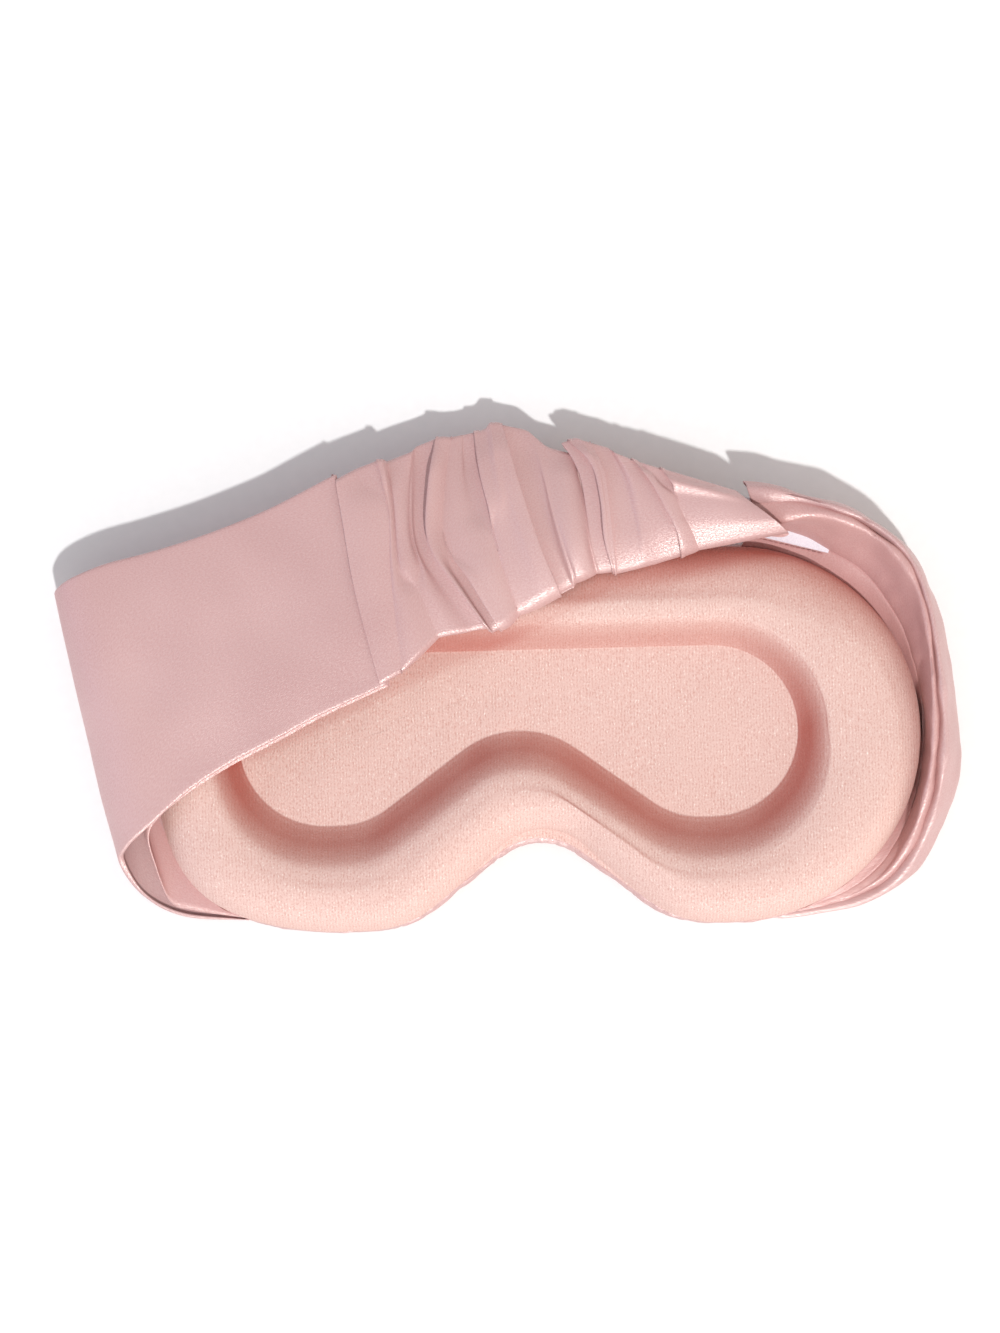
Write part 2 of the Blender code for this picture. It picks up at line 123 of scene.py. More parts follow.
def ripple(points: Array, wavelength: float, seed: int, waves: int = 12) -> Array:
    """Smooth noise of about -1 to 1: a sum of sine waves in seeded random directions.

    f(p) = sum_i sin(2 pi p.k_i / wavelength + phase_i) / sqrt(waves / 2)
    """
    chance = np.random.default_rng(seed)
    directions = chance.normal(size=(waves, points.shape[-1]))
    directions /= np.linalg.norm(directions, axis=1, keepdims=True)
    directions *= chance.uniform(0.6, 1.4, size=(waves, 1)) * 2 * math.pi / wavelength
    phases = chance.uniform(0, 2 * math.pi, waves)
    return np.sin(points @ directions.T + phases).sum(axis=-1) / math.sqrt(waves / 2)


def unit(vectors: Array) -> Array:
    """The vectors at length one."""
    return vectors / np.maximum(np.linalg.norm(vectors, axis=-1, keepdims=True), 1e-9)


def normals_of(grid: Array) -> Array:
    """Unit normals of a grid of points, to the left of its second axis seen along the first."""
    return unit(np.cross(np.gradient(grid, axis=1), np.gradient(grid, axis=0)))


def smoothstep(value: Array, low: float, high: float) -> Array:
    """0 below low, 1 above high and a smooth ramp between."""
    t = np.clip((value - low) / (high - low), 0, 1)
    return t * t * (3 - 2 * t)


def grid_mesh(name: str, grid: Array, closed: bool = False, cap: bool = False) -> bpy.types.Object:
    """An object from a grid of points in millimetres, with a UV map in metres of cloth.

    Args:
        name: name of the piece.
        grid: points, shape (rows, columns, 3).
        closed: whether the columns run round and meet.
        cap: whether the last row is filled with one fan of faces.

    Returns:
        The object, at the origin, shaded smooth.
    """
    rows, columns = grid.shape[:2]
    points = grid.reshape(-1, 3) * MM
    row = np.arange(rows - 1)[:, None]
    column = np.arange(columns if closed else columns - 1)[None, :]
    right = (column + 1) % columns
    faces = np.stack([row * columns + column, row * columns + right,
                      (row + 1) * columns + right, (row + 1) * columns + column], axis=-1)
    face_list = faces.reshape(-1, 4).tolist()
    if cap:
        last = (rows - 1) * columns
        face_list.append(list(range(last, last + columns)))
    mesh = bpy.data.meshes.new(name)
    mesh.from_pydata(points.tolist(), [], face_list)
    along = np.linalg.norm(np.diff(grid, axis=1, prepend=grid[:, :1]), axis=-1).cumsum(axis=1)
    across = np.linalg.norm(np.diff(grid, axis=0, prepend=grid[:1]), axis=-1).cumsum(axis=0)
    flat = np.stack([along, across], axis=-1).reshape(-1, 2) * MM
    corners = np.zeros(len(mesh.loops), dtype=np.int32)
    mesh.loops.foreach_get("vertex_index", corners)
    uv = mesh.uv_layers.new(name="cloth")
    uv.data.foreach_set("uv", flat[corners].ravel())
    mesh.shade_smooth()
    made = bpy.data.objects.new(name, mesh)
    bpy.context.scene.collection.objects.link(made)
    return made


def thicken(piece: bpy.types.Object, thickness: float, offset: float = -1.0) -> None:
    """Gives an open cloth surface its thickness in millimetres, inwards by default."""
    solid = piece.modifiers.new("cloth thickness", "SOLIDIFY")
    solid.thickness = thickness * MM
    solid.offset = offset
    solid.use_rim = True


# ---------------------------------------------------------------- finishes


def linear(code: str) -> tuple[float, float, float, float]:
    """An sRGB hex colour as linear RGBA."""
    parts = [int(code[k:k + 2], 16) / 255 for k in (1, 3, 5)]
    return (*[c / 12.92 if c <= 0.04045 else ((c + 0.055) / 1.055) ** 2.4 for c in parts], 1.0)


def add(tree: bpy.types.NodeTree, kind: str, links: dict | None = None, **settings) -> bpy.types.Node:
    """Adds a node.

    Args:
        tree: the material's nodes.
        kind: Blender's type name of the node.
        links: input name or number to an output socket, or to a value.
        settings: attributes of the node.

    Returns:
        The new node.
    """
    node = tree.nodes.new(kind)
    for key, value in settings.items():
        setattr(node, key, value)
    for key, value in (links or {}).items():
        socket = node.inputs[key]
        if kind == "ShaderNodeMix" and isinstance(key, str) and key in "AB":
            socket = next(i for i in node.inputs if i.name == key and i.type == node.data_type)
        if isinstance(value, bpy.types.NodeSocket):
            tree.links.new(value, socket)
        else:
            socket.default_value = value
    return node


def ramp(tree: bpy.types.NodeTree, factor: bpy.types.NodeSocket,
         stops: list[tuple[float, str]]) -> bpy.types.NodeSocket:
    """A colour ramp's output for hex colours at the given places."""
    node = add(tree, "ShaderNodeValToRGB", {"Fac": factor})
    elements = node.color_ramp.elements
    while len(elements) < len(stops):
        elements.new(0.5)
    for element, (place, code) in zip(elements, stops):
        element.position = place
        element.color = linear(code)
    return node.outputs["Color"]


class Finish:
    """A material made from nodes. Subclasses name it and dress its Principled shader."""

    name: str

    def dress(self, tree: bpy.types.NodeTree, shader: bpy.types.Node) -> None:
        """Adds the finish's own nodes."""
        raise NotImplementedError

    def make(self) -> bpy.types.Material:
        """Builds the material once and returns it."""
        found = bpy.data.materials.get(self.name)
        if found:
            return found
        material = bpy.data.materials.new(self.name)
        material.use_nodes = True
        tree = material.node_tree
        self.dress(tree, tree.nodes["Principled BSDF"])
        return material


@dataclass(frozen=True)
class WovenSatin(Finish):
    """Polyester satin: long floats on the face give a broad soft gloss and pale sheen."""

    name: str = "woven polyester satin"
    colour: str = "#d1aba8"
    deep: str = "#c19896"
    thread_mm: float = 0.3     # floats are nearer 0.1 mm; drawn coarser so that they show
    spark_mm: float = 0.5      # groups of floats that catch the light together
    roughness: float = 0.46

    def dress(self, tree: bpy.types.NodeTree, shader: bpy.types.Node) -> None:
        """Slow colour drift, a fine thread grain in bump and roughness, and a soft sheen."""
        place = add(tree, "ShaderNodeTexCoord").outputs["Object"]
        cloth = add(tree, "ShaderNodeUVMap", uv_map="cloth").outputs["UV"]
        drift = add(tree, "ShaderNodeTexNoise", {"Vector": place, "Scale": 22.0, "Detail": 2.0})
        stretch = add(tree, "ShaderNodeMapping", {"Vector": cloth, "Scale": (0.45, 1.0, 1.0)})
        grain = add(tree, "ShaderNodeTexNoise", {
            "Vector": stretch.outputs["Vector"], "Scale": 1 / (self.thread_mm * MM),
            "Detail": 1.0, "Roughness": 0.6})
        fleck = add(tree, "ShaderNodeMath", {
            0: grain.outputs["Fac"], 1: 0.55, 2: drift.outputs["Fac"]}, operation="MULTIPLY_ADD")
        colour = ramp(tree, fleck.outputs[0], [(0.55, self.deep), (1.0, self.colour)])
        tree.links.new(colour, shader.inputs["Base Color"])
        rough = add(tree, "ShaderNodeMapRange", {
            "Value": grain.outputs["Fac"], "From Min": 0.3, "From Max": 0.7,
            "To Min": self.roughness - 0.14, "To Max": self.roughness + 0.14})
        tree.links.new(rough.outputs["Result"], shader.inputs["Roughness"])
        bump = add(tree, "ShaderNodeBump", {
            "Height": grain.outputs["Fac"], "Strength": 0.5, "Distance": 0.00011})
        tree.links.new(bump.outputs["Normal"], shader.inputs["Normal"])
        spark = add(tree, "ShaderNodeTexNoise", {
            "Vector": cloth, "Scale": 1 / (self.spark_mm * MM), "Detail": 1.0, "Roughness": 0.8})
        shine = add(tree, "ShaderNodeMapRange", {
            "Value": spark.outputs["Fac"], "From Min": 0.36, "From Max": 0.66,
            "To Min": 0.1, "To Max": 1.3})
        tree.links.new(shine.outputs["Result"], shader.inputs["Specular IOR Level"])
        shader.inputs["IOR"].default_value = 1.6
        shader.inputs["Sheen Weight"].default_value = 0.18
        shader.inputs["Sheen Roughness"].default_value = 0.45
        shader.inputs["Sheen Tint"].default_value = linear("#f2d4d0")


@dataclass(frozen=True)
class JerseyKnit(Finish):
    """Fine brushed jersey: faint ribs and bright flecks of yarn, which also paint small glints of
    light,
    and painted shade: a deeper tone on the recess walls, under the band's edge and on slopes that face
    away from the key light."""

    name: str = "brushed jersey knit"
    colour: str = "#e2bfb5"
    deep: str = "#cf9f93"
    # near-white yarn flecks, which also paint small glints of light on the knit
    fleck: str = "#fff0e6"
    # painted shade: the deep red-pink that the knit's walls and brow take where they lie in shade
    painted_shade_colour: str = "#b05546"
    wale_mm: float = 0.85

    def dress(self, tree: bpy.types.NodeTree, shader: bpy.types.Node) -> None:
        """Ribs from a sine wave along X broken up by noise, flecks from fine noise, and painted shade
        mixed in by the mesh's stretch attribute.
        """
        place = add(tree, "ShaderNodeTexCoord").outputs["Object"]
        wander = add(tree, "ShaderNodeTexNoise", {"Vector": place, "Scale": 420.0, "Detail": 2.0})
        shift = add(tree, "ShaderNodeVectorMath", {
            0: wander.outputs["Color"], 1: (0.0011, 0.0008, 0.0)}, operation="MULTIPLY")
        warped = add(tree, "ShaderNodeVectorMath", {0: place, 1: shift.outputs["Vector"]})
        axes = add(tree, "ShaderNodeSeparateXYZ", {"Vector": warped.outputs["Vector"]})
        turn = add(tree, "ShaderNodeMath", {
            0: axes.outputs["X"], 1: 2 * math.pi / (self.wale_mm * MM)}, operation="MULTIPLY")
        wave = add(tree, "ShaderNodeMath", {0: turn.outputs[0]}, operation="SINE")
        squeeze = add(tree, "ShaderNodeMapping", {"Vector": place, "Scale": (1.0, 0.6, 1.0)})
        yarn = add(tree, "ShaderNodeTexNoise", {
            "Vector": squeeze.outputs["Vector"], "Scale": 2700.0, "Detail": 1.0, "Roughness": 0.7})
        height = add(tree, "ShaderNodeMath", {
            0: wave.outputs[0], 1: 0.085, 2: yarn.outputs["Fac"]}, operation="MULTIPLY_ADD")
        face = ramp(tree, height.outputs[0],
                    [(0.22, self.deep), (0.5, self.colour), (0.64, self.colour), (0.9, self.fleck)])
        # The mesh attribute named stretch holds painted shade; it mixes the painted shade colour into
        # the knit's colour.
        painted_shade = add(tree, "ShaderNodeAttribute", attribute_name="stretch").outputs["Fac"]
        painted_shade_mix = add(tree, "ShaderNodeMapRange", {
            "Value": painted_shade, "From Min": 0.04, "From Max": 0.46, "To Max": 0.96})
        colour = add(tree, "ShaderNodeMix", {
            "Factor": painted_shade_mix.outputs["Result"], "A": face, "B": linear(self.painted_shade_colour)},
            data_type="RGBA")
        mixed = next(o for o in colour.outputs if o.type == "RGBA")
        tree.links.new(mixed, shader.inputs["Base Color"])
        bump = add(tree, "ShaderNodeBump", {
            "Height": height.outputs[0], "Strength": 0.6, "Distance": 0.0002})
        tree.links.new(bump.outputs["Normal"], shader.inputs["Normal"])
        glint = add(tree, "ShaderNodeMapRange", {
            "Value": yarn.outputs["Fac"], "From Min": 0.45, "From Max": 0.7,
            "To Min": 0.78, "To Max": 0.5})
        tree.links.new(glint.outputs["Result"], shader.inputs["Roughness"])
        shader.inputs["Sheen Weight"].default_value = 0.2
        shader.inputs["Sheen Roughness"].default_value = 0.5
        shader.inputs["Sheen Tint"].default_value = linear("#ffd9cc")


@dataclass(frozen=True)
class PlainCloth(Finish):
    """A matt woven or foamed material, such as lining, wadding, foam, elastic or thread."""

    name: str
    colour: str
    deep: str
    grain_mm: float
    depth_mm: float = 0.1
    roughness: float = 0.85

    def dress(self, tree: bpy.types.NodeTree, shader: bpy.types.Node) -> None:
        """Two tones and a bump from one noise at the size of the grain."""
        place = add(tree, "ShaderNodeTexCoord").outputs["Object"]
        grain = add(tree, "ShaderNodeTexNoise", {
            "Vector": place, "Scale": 1 / (self.grain_mm * MM), "Detail": 2.0})
        colour = ramp(tree, grain.outputs["Fac"], [(0.3, self.deep), (0.7, self.colour)])
        tree.links.new(colour, shader.inputs["Base Color"])
        bump = add(tree, "ShaderNodeBump", {
            "Height": grain.outputs["Fac"], "Strength": 0.5, "Distance": self.depth_mm * MM})
        tree.links.new(bump.outputs["Normal"], shader.inputs["Normal"])
        shader.inputs["Roughness"].default_value = self.roughness


SATIN = WovenSatin()
LINING = WovenSatin(name="woven satin lining", colour="#d3a6a2", deep="#c79793", roughness=0.48)
KNIT = JerseyKnit()
FOAM = PlainCloth("moulded polyurethane foam", "#efe0d2", "#e2cdbd", 0.9)
WADDING = PlainCloth("needled polyester wadding", "#f3efe9", "#e3dcd3", 1.6, 0.3)
BLACKOUT = PlainCloth("coated blackout lining", "#2c2628", "#1d191b", 0.5, 0.05, 0.7)
ELASTIC = PlainCloth("woven rubber elastic", "#ecd8d2", "#d9beb7", 0.6, 0.15)
THREAD = PlainCloth("polyester sewing thread", "#cf9d9a", "#b88481", 0.2, 0.05, 0.6)
LABEL = PlainCloth("satin label tape", "#f4f0f6", "#e6e0ea", 0.35, 0.04, 0.5)


# ---------------------------------------------------------------- outlines of the mask


@dataclass(frozen=True)
class GoggleOutline:
    """The outline family of the mask and its eye recess.

    Half of it is a nose notch arc, a straight flank, a cheek lobe arc, a half circle round
    the side and a straight top edge. The other half mirrors it.
    """

    length: float
    height: float
    middle: float
    lobe_x: float
    lobe_radius: float
    notch_depth: float
    notch_radius: float
    shift: float = 0.0
    corner: float = 0.0

    def side(self) -> tuple[float, float]:
        """Centre of the half circle round the right side."""
        return self.length / 2 - self.height / 2, self.middle

    def ring(self, grow: float | Array = 0.0) -> Array:
        """Closed outline moved outwards by grow, anticlockwise from the middle of the notch.

        Args:
            grow: one distance for the whole ring, in millimetres.

        Returns:
            Points of shape (ring size, 2).
        """
        radius = self.height / 2
        side = np.array(self.side())
        bottom = self.middle - radius
        lobe = np.array([min(self.lobe_x, side[0]), bottom + self.lobe_radius])
        notch = np.array([0.0, bottom + self.notch_depth - self.notch_radius])
        across = lobe - notch
        lean = math.asin(min(0.98, (self.notch_radius + self.lobe_radius) / math.hypot(*across)))
        flank = math.atan2(across[1], across[0]) - lean
        arcs = [
            (notch, self.notch_radius - grow, math.pi / 2, flank + math.pi / 2, 16),
            (lobe, self.lobe_radius + grow, flank - math.pi / 2, -math.pi / 2, 24),
            (side, radius + grow, -math.pi / 2, math.pi / 2, 76),
        ]
        runs = [self._arc(*arc) for arc in arcs]
        flank_run = self._line(runs[0][-1], runs[1][0], 14)
        foot_run = self._line(runs[1][-1], runs[2][0], 4)
        top_run = self._line(runs[2][-1], np.array([0.0, self.middle + radius + grow]), 36)
        half = np.vstack([runs[0], flank_run, runs[1], foot_run, runs[2], top_run])
        mirrored = half[1:-1][::-1] * (-1, 1)
        points = soften(np.vstack([half, mirrored]), 1.5, 0, closed=True)
        away = points - np.array([-side[0], self.middle])
        swell = self.fullness(np.degrees(np.arctan2(away[:, 1], -away[:, 0]))) * (away[:, 0] < 0)
        return points + unit(away) * swell[:, None] + (self.shift, 0.0)

    def fullness(self, degrees: Array) -> Array:
        """How much fuller the lower left corner is, at angles up from the left, clockwise."""
        return self.corner * np.exp(-((degrees + 44.0) / 24.0) ** 2)

    def outward(self) -> Array:
        """Unit vectors that point out of the outline, one per point of a ring."""
        return unit(self.ring(0.5) - self.ring(-0.5))

    @staticmethod
    def _arc(centre: Array, radius: float, start: float, end: float, steps: int) -> Array:
        """Points of an arc: centre + radius (cos a, sin a)."""
        angles = np.linspace(start, end, steps)
        return centre + radius * np.column_stack([np.cos(angles), np.sin(angles)])

    @staticmethod
    def _line(start: Array, end: Array, steps: int) -> Array:
        """Points strictly between two others, and the far one when it is on the mirror line."""
        shares = np.linspace(0, 1, steps + 1)[1:]
        if abs(end[0]) > 1e-9:
            shares = shares[:-1]
        return start + (end - start) * shares[:, None]


PAD = GoggleOutline(206.4, 100.2, 0.0, 47.0, 30.0, 23.5, 18.0, corner=4.6)
RECESS = GoggleOutline(151.0, 46.0, 1.0, 49.0, 22.0, 24.5, 26.0, shift=-5.0)


def ring_at(points: Array, z: float | Array) -> Array:
    """A ring lifted to a height."""
    return np.column_stack([points, np.broadcast_to(z, len(points))])


def spine_of(ring: Array, reach: float, rise: float) -> Array:
    """The ring drawn in to a line along its middle, so that a surface can close there."""
    x = np.clip(ring[:, 0], -reach, reach) * 0.96
    y = rise + 12.0 - 13.5 * (np.abs(x) / reach) ** 1.2
    return np.column_stack([x, y])


def side_arc(side: int, reach: float, degrees: Array, z: float | Array) -> Array:
    """Points beside the pad, at angles round its side circle; side is 1 right and -1 left."""
    middle, _ = PAD.side()
    angles = np.radians(degrees)
    radius = PAD.height / 2 + reach
    if side < 0:
        radius = radius + PAD.fullness(degrees)
    x = side * (middle + radius * np.cos(angles))
    y = radius * np.sin(angles)
    return np.stack([x, y, np.broadcast_to(z, np.shape(x))], axis=-1)


# ---------------------------------------------------------------- the mask itself


@dataclass(frozen=True)
class MaskBody:
    """Moulded pad under its knit cover, the satin front below it and the seam between them."""

    seam_z: float = 5.0
    rim_z: float = 17.9
    floor_z: float = 8.1
    knit: float = 0.7
    wall_lean: float = 0.6
    body: str = "mask"

    def build(self) -> list[bpy.types.Object]:
        """Builds and dresses the pieces of the mask's body."""
        pieces = [self.moulded_foam(), self.knit_cover(), self.satin_front(), self.edge_seam()]
        for node, finish in (("front_wadding", WADDING), ("blackout_lining", BLACKOUT)):
            dress(frame["nodes"][node], finish)
        return pieces

    def form(self) -> Array:
        """The moulded form: seam, outer side, crowned rim, recess wall and floor.

        Rings of the two outlines are control rows for a Catmull-Rom curve. The side is
        drawn in above a ledge at the nose notch and rounder along the brow, and the recess
        wall leans further where it faces down the mask and the rim has room for it:
        grow' = grow (1 + lean max(0, -n_y)).

        Returns:
            Points of shape (168, ring size, 3), from the seam to the middle of the floor.
        """
        rim, floor = self.rim_z, self.floor_z
        notch = np.exp(-((PAD.ring()[:, 0] - 3.0) / 19.0) ** 2) * (PAD.ring()[:, 1] < 0)
        brow = np.clip(PAD.outward()[:, 1], 0, 1)[:, None]
        room = np.linalg.norm(PAD.ring() - RECESS.ring(), axis=1)
        lean = self.wall_lean * np.clip((soften(room, 6.0, 0, closed=True) - 20) / 8, 0, 1)
        down = (lean * np.clip(-RECESS.outward()[:, 1], 0, 1))[:, None]
        side = [(-1.4, self.seam_z - 0.1, 0.0), (0.0, self.seam_z + 0.4, 0.0),
                (0.4, self.seam_z + 1.2, 0.1), (0.6, self.seam_z + 2.1, 0.75),
                (0.5, self.seam_z + 4.4, 0.85), (-0.6, rim - 6.0, 0.9), (-2.3, rim - 3.6, 1.0),
                (-4.6, rim - 1.9, 0.8), (-7.2, rim - 0.75, 0.4)]
        wall = [(8.6, rim - 0.55), (7.0, rim - 1.4), (5.8, rim - 2.6), (4.1, rim - 4.8),
                (2.5, floor + 2.8), (1.2, floor + 1.2), (0.5, floor + 0.45), (0.1, floor + 0.06),
                (-0.3, floor - 0.02), (-1.6, floor), (-5.0, floor)]
        fit = np.clip((soften(room, 5.0, 0, closed=True) - 12.0) / 11.0, 0.5, 1.0)[:, None]
        rows = []
        for grow, z, share in side:
            ring = PAD.ring()
            ring = ring + (PAD.ring(grow) - ring) * (1 + 0.55 * brow * (grow < -1.5)) * (
                1 - (1 - fit) * max(-grow - 2.0, 0.0) / 5.2)
            ring = ring + (PAD.ring(-3.6) - PAD.ring()) * (notch * share)[:, None]
            rows.append(ring_at(ring, z))
        recess = RECESS.ring()
        walls = [ring_at(recess + (RECESS.ring(grow) - recess) * (1 + down * (grow > 0))
                         * (1 - (1 - fit) * max(grow, 0.0) / 8.6), z) for grow, z in wall]
        crown = rows[-1] * 0.5 + walls[0] * 0.5
        crown[:, 2] = rim
        rows += [crown, *walls]
        last = RECESS.ring(-5.0)
        centre = spine_of(last - (RECESS.shift, 0.0), 52.0, RECESS.middle) + (RECESS.shift, 0.0)
        for share in (0.35, 0.7, 0.94):
            rows.append(ring_at(last + (centre - last) * share, floor - 0.15 * share))
        grid = catmull(np.array(rows), 168)
        grid[..., 2] += ripple(grid[..., :2], 46.0, 3) * 0.18 + ripple(grid[..., :2], 15.0, 4) * 0.05
        return soften(grid, 0.7, 0)

    def knit_cover(self) -> bpy.types.Object:
        """The knit, stretched over the form.

        Its attribute is painted shade: 1 - |n_z|, most at the foot of the recess wall and on walls
        that face away from the key light; outside the rim along the brow only, by n_y, where it faces
        away from the light; and a painted shadow under the band's edge.
        """
        grid = self.form()
        piece = grid_mesh("knit_cover_cloth", grid, closed=True, cap=True)
        normal = normals_of(grid)
        # Painted shade on the knit: darker on steep slopes, most near the recess floor and on walls
        # that face away from the key light; outside the rim only where the brow faces away from it.
        painted_shade = 1 - np.abs(normal[..., 2])
        recess = np.arange(len(grid))[:, None] > len(grid) * 0.42
        climb = (grid[..., 2] - self.floor_z) / (self.rim_z - self.floor_z)
        shade_near_floor = 1.3 - 0.75 * np.clip(climb, 0, 1)
        # Depth below the band's lower edge, for the painted shadow that the band casts on the knit.
        edge = np.interp(grid[..., 0], *BAND_EDGE) - grid[..., 1]
        painted_shade = np.where(recess, painted_shade * shade_near_floor,
                         0.1 * painted_shade + 0.42 * np.clip(normal[..., 1], 0, 1))
        painted_shade = painted_shade * np.where(recess, 1 + 0.55 * normal[..., 1], 1)
        painted_shade = painted_shade + 0.14 * np.exp(-(np.maximum(edge, 0) / 3.0) ** 2)
        # The painted shade is kept in the attribute named stretch, which the knit's finish reads.
        layer = piece.data.attributes.new("stretch", "FLOAT", "POINT")
        layer.data.foreach_set("value", soften(painted_shade, 1.0, 0).ravel())
        thicken(piece, self.knit)
        finish_piece(piece, KNIT, self.body, "knit", "knit_cover")
        return piece

    def moulded_foam(self) -> bpy.types.Object:
        """The foam under the knit: the same form, smaller all round, with a flat underside."""
        grid = self.form()
        grid = grid - normals_of(grid) * (self.knit + 0.15)
        bottom = PAD.ring(-3.0)
        grid = np.concatenate([ring_at(bottom, self.seam_z - 0.4)[None],
                               ring_at(PAD.ring(-2.4), self.seam_z + 0.1)[None], grid[6:]])
        piece = grid_mesh("moulded_foam", grid, closed=True, cap=True)
        mend(piece, columns=grid.shape[1])
        finish_piece(piece, FOAM, self.body, "foam", "foam_core")
        return piece

    def satin_front(self) -> bpy.types.Object:
        """The satin front: a shallow dish, puckered at its seam and flat where it rests."""
        profile = [(-1.2, self.seam_z + 0.1), (0.3, self.seam_z + 0.05), (1.3, self.seam_z - 0.8),
                   (1.55, self.seam_z - 2.2), (0.7, 1.3), (-2.0, 0.35), (-6.5, 0.02), (-14.0, 0.0)]
        rows = [ring_at(PAD.ring(grow), z) for grow, z in profile]
        last = PAD.ring(-14.0)
        centre = spine_of(last, 62.0, 4.0)
        rows += [ring_at(last + (centre - last) * share, 0.0) for share in (0.3, 0.65, 0.95)]
        grid = catmull(np.array(rows), 64)
        run = np.linspace(0, 1, grid.shape[1], endpoint=False) * 2 * math.pi
        pucker = np.sin(83 * run + 2 * np.sin(5 * run)) * 0.5 + np.sin(47 * run + 1) * 0.5
        fade = np.exp(-((np.arange(64) - 9) / 7.0) ** 2)[:, None] * (pucker * 0.16)[None, :]
        outward = unit(PAD.ring(1.0) - PAD.ring(0.0))
        grid[..., :2] += outward[None] * fade[..., None]
        grid[..., 2] = np.maximum(grid[..., 2], 0.0)
        piece = grid_mesh("satin_front", grid[::-1], closed=True)
        mend(piece, columns=grid.shape[1])
        row = np.arange(grid.shape[0] * grid.shape[1]) // grid.shape[1]
        relax(piece, (row > 55) | (row < 34), 1.2, 0.02)
        thicken(piece, SATIN_PLY)
        finish_piece(piece, SATIN, self.body, "satin", "front_panel")
        return piece

    def edge_seam(self) -> bpy.types.Object:
        """The sewn edge between knit and satin: a thin cord of turned cloth with stitch dips."""
        ring = PAD.ring(-0.1)
        outward = unit(PAD.ring(1.0) - ring)
        turns = np.linspace(0, 2 * math.pi, 10, endpoint=False)
        count = len(ring)
        dip = 0.52 + 0.07 * np.sin(np.arange(count) * 2 * math.pi * round(count / 5) / count)
        rows = [ring_at(ring + outward * (math.cos(a) * dip)[:, None],
                        self.seam_z + math.sin(a) * dip) for a in turns]
        grid = np.array(rows + rows[:1])
        piece = grid_mesh("edge_seam", grid, closed=True)
        mend(piece, doubles=True)
        finish_piece(piece, LINING, self.body, "satin", "edge_binding")
        return piece


# ---------------------------------------------------------------- wings


def rolled(grid: Array, low: float | Array, high: float | Array, turn: float = 200.0,
           steps: int = 9) -> Array:
    """A cloth whose first and last rows roll under, away from its normal side.

    At an edge with outward direction e, normal n and radius R the roll is
    p + R sin(a) e + R (cos(a) - 1) n, for a from 0 to turn.

    Args:
        grid: the cloth, shape (rows, columns, 3).
        low: radius of the roll at the first row, one value or one per column.
        high: the same at the last row.
        turn: how far each edge turns, in degrees.
        steps: rows added at each edge.

    Returns:
        The grid with the rolled rows added.
    """
    normals = normals_of(grid)
    angles = np.radians(np.linspace(0, turn, steps + 1)[1:])[:, None, None]
    parts = [grid]
    for row, nxt, radius, front in ((0, 1, low, True), (-1, -2, high, False)):
        radius = np.broadcast_to(radius, grid.shape[1])[None, :, None]
        out = unit(grid[row] - grid[nxt])[None]
        normal = soften(normals[row], 2.0, 0)[None]
        roll = grid[row][None] + radius * (np.sin(angles) * out + (np.cos(angles) - 1) * normal)
        parts = [roll[::-1], *parts] if front else [*parts, roll]
    return np.concatenate(parts)


def wing_ply(name: str, grid: Array, finish: Finish, node: str) -> bpy.types.Object:
    """One folded ply of a wing, which runs from the mask to the moving band.

    Args:
        name: name of the piece.
        grid: the ply, shape (rows, columns, 3), in millimetres.
        finish: its material.
        node: the node that it stands for.

    Returns:
        The finished ply.
    """
    piece = grid_mesh(name, grid)
    thicken(piece, WING_PLY)
    finish_piece(piece, finish, None, "satin", node)
    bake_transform(piece)
    return piece


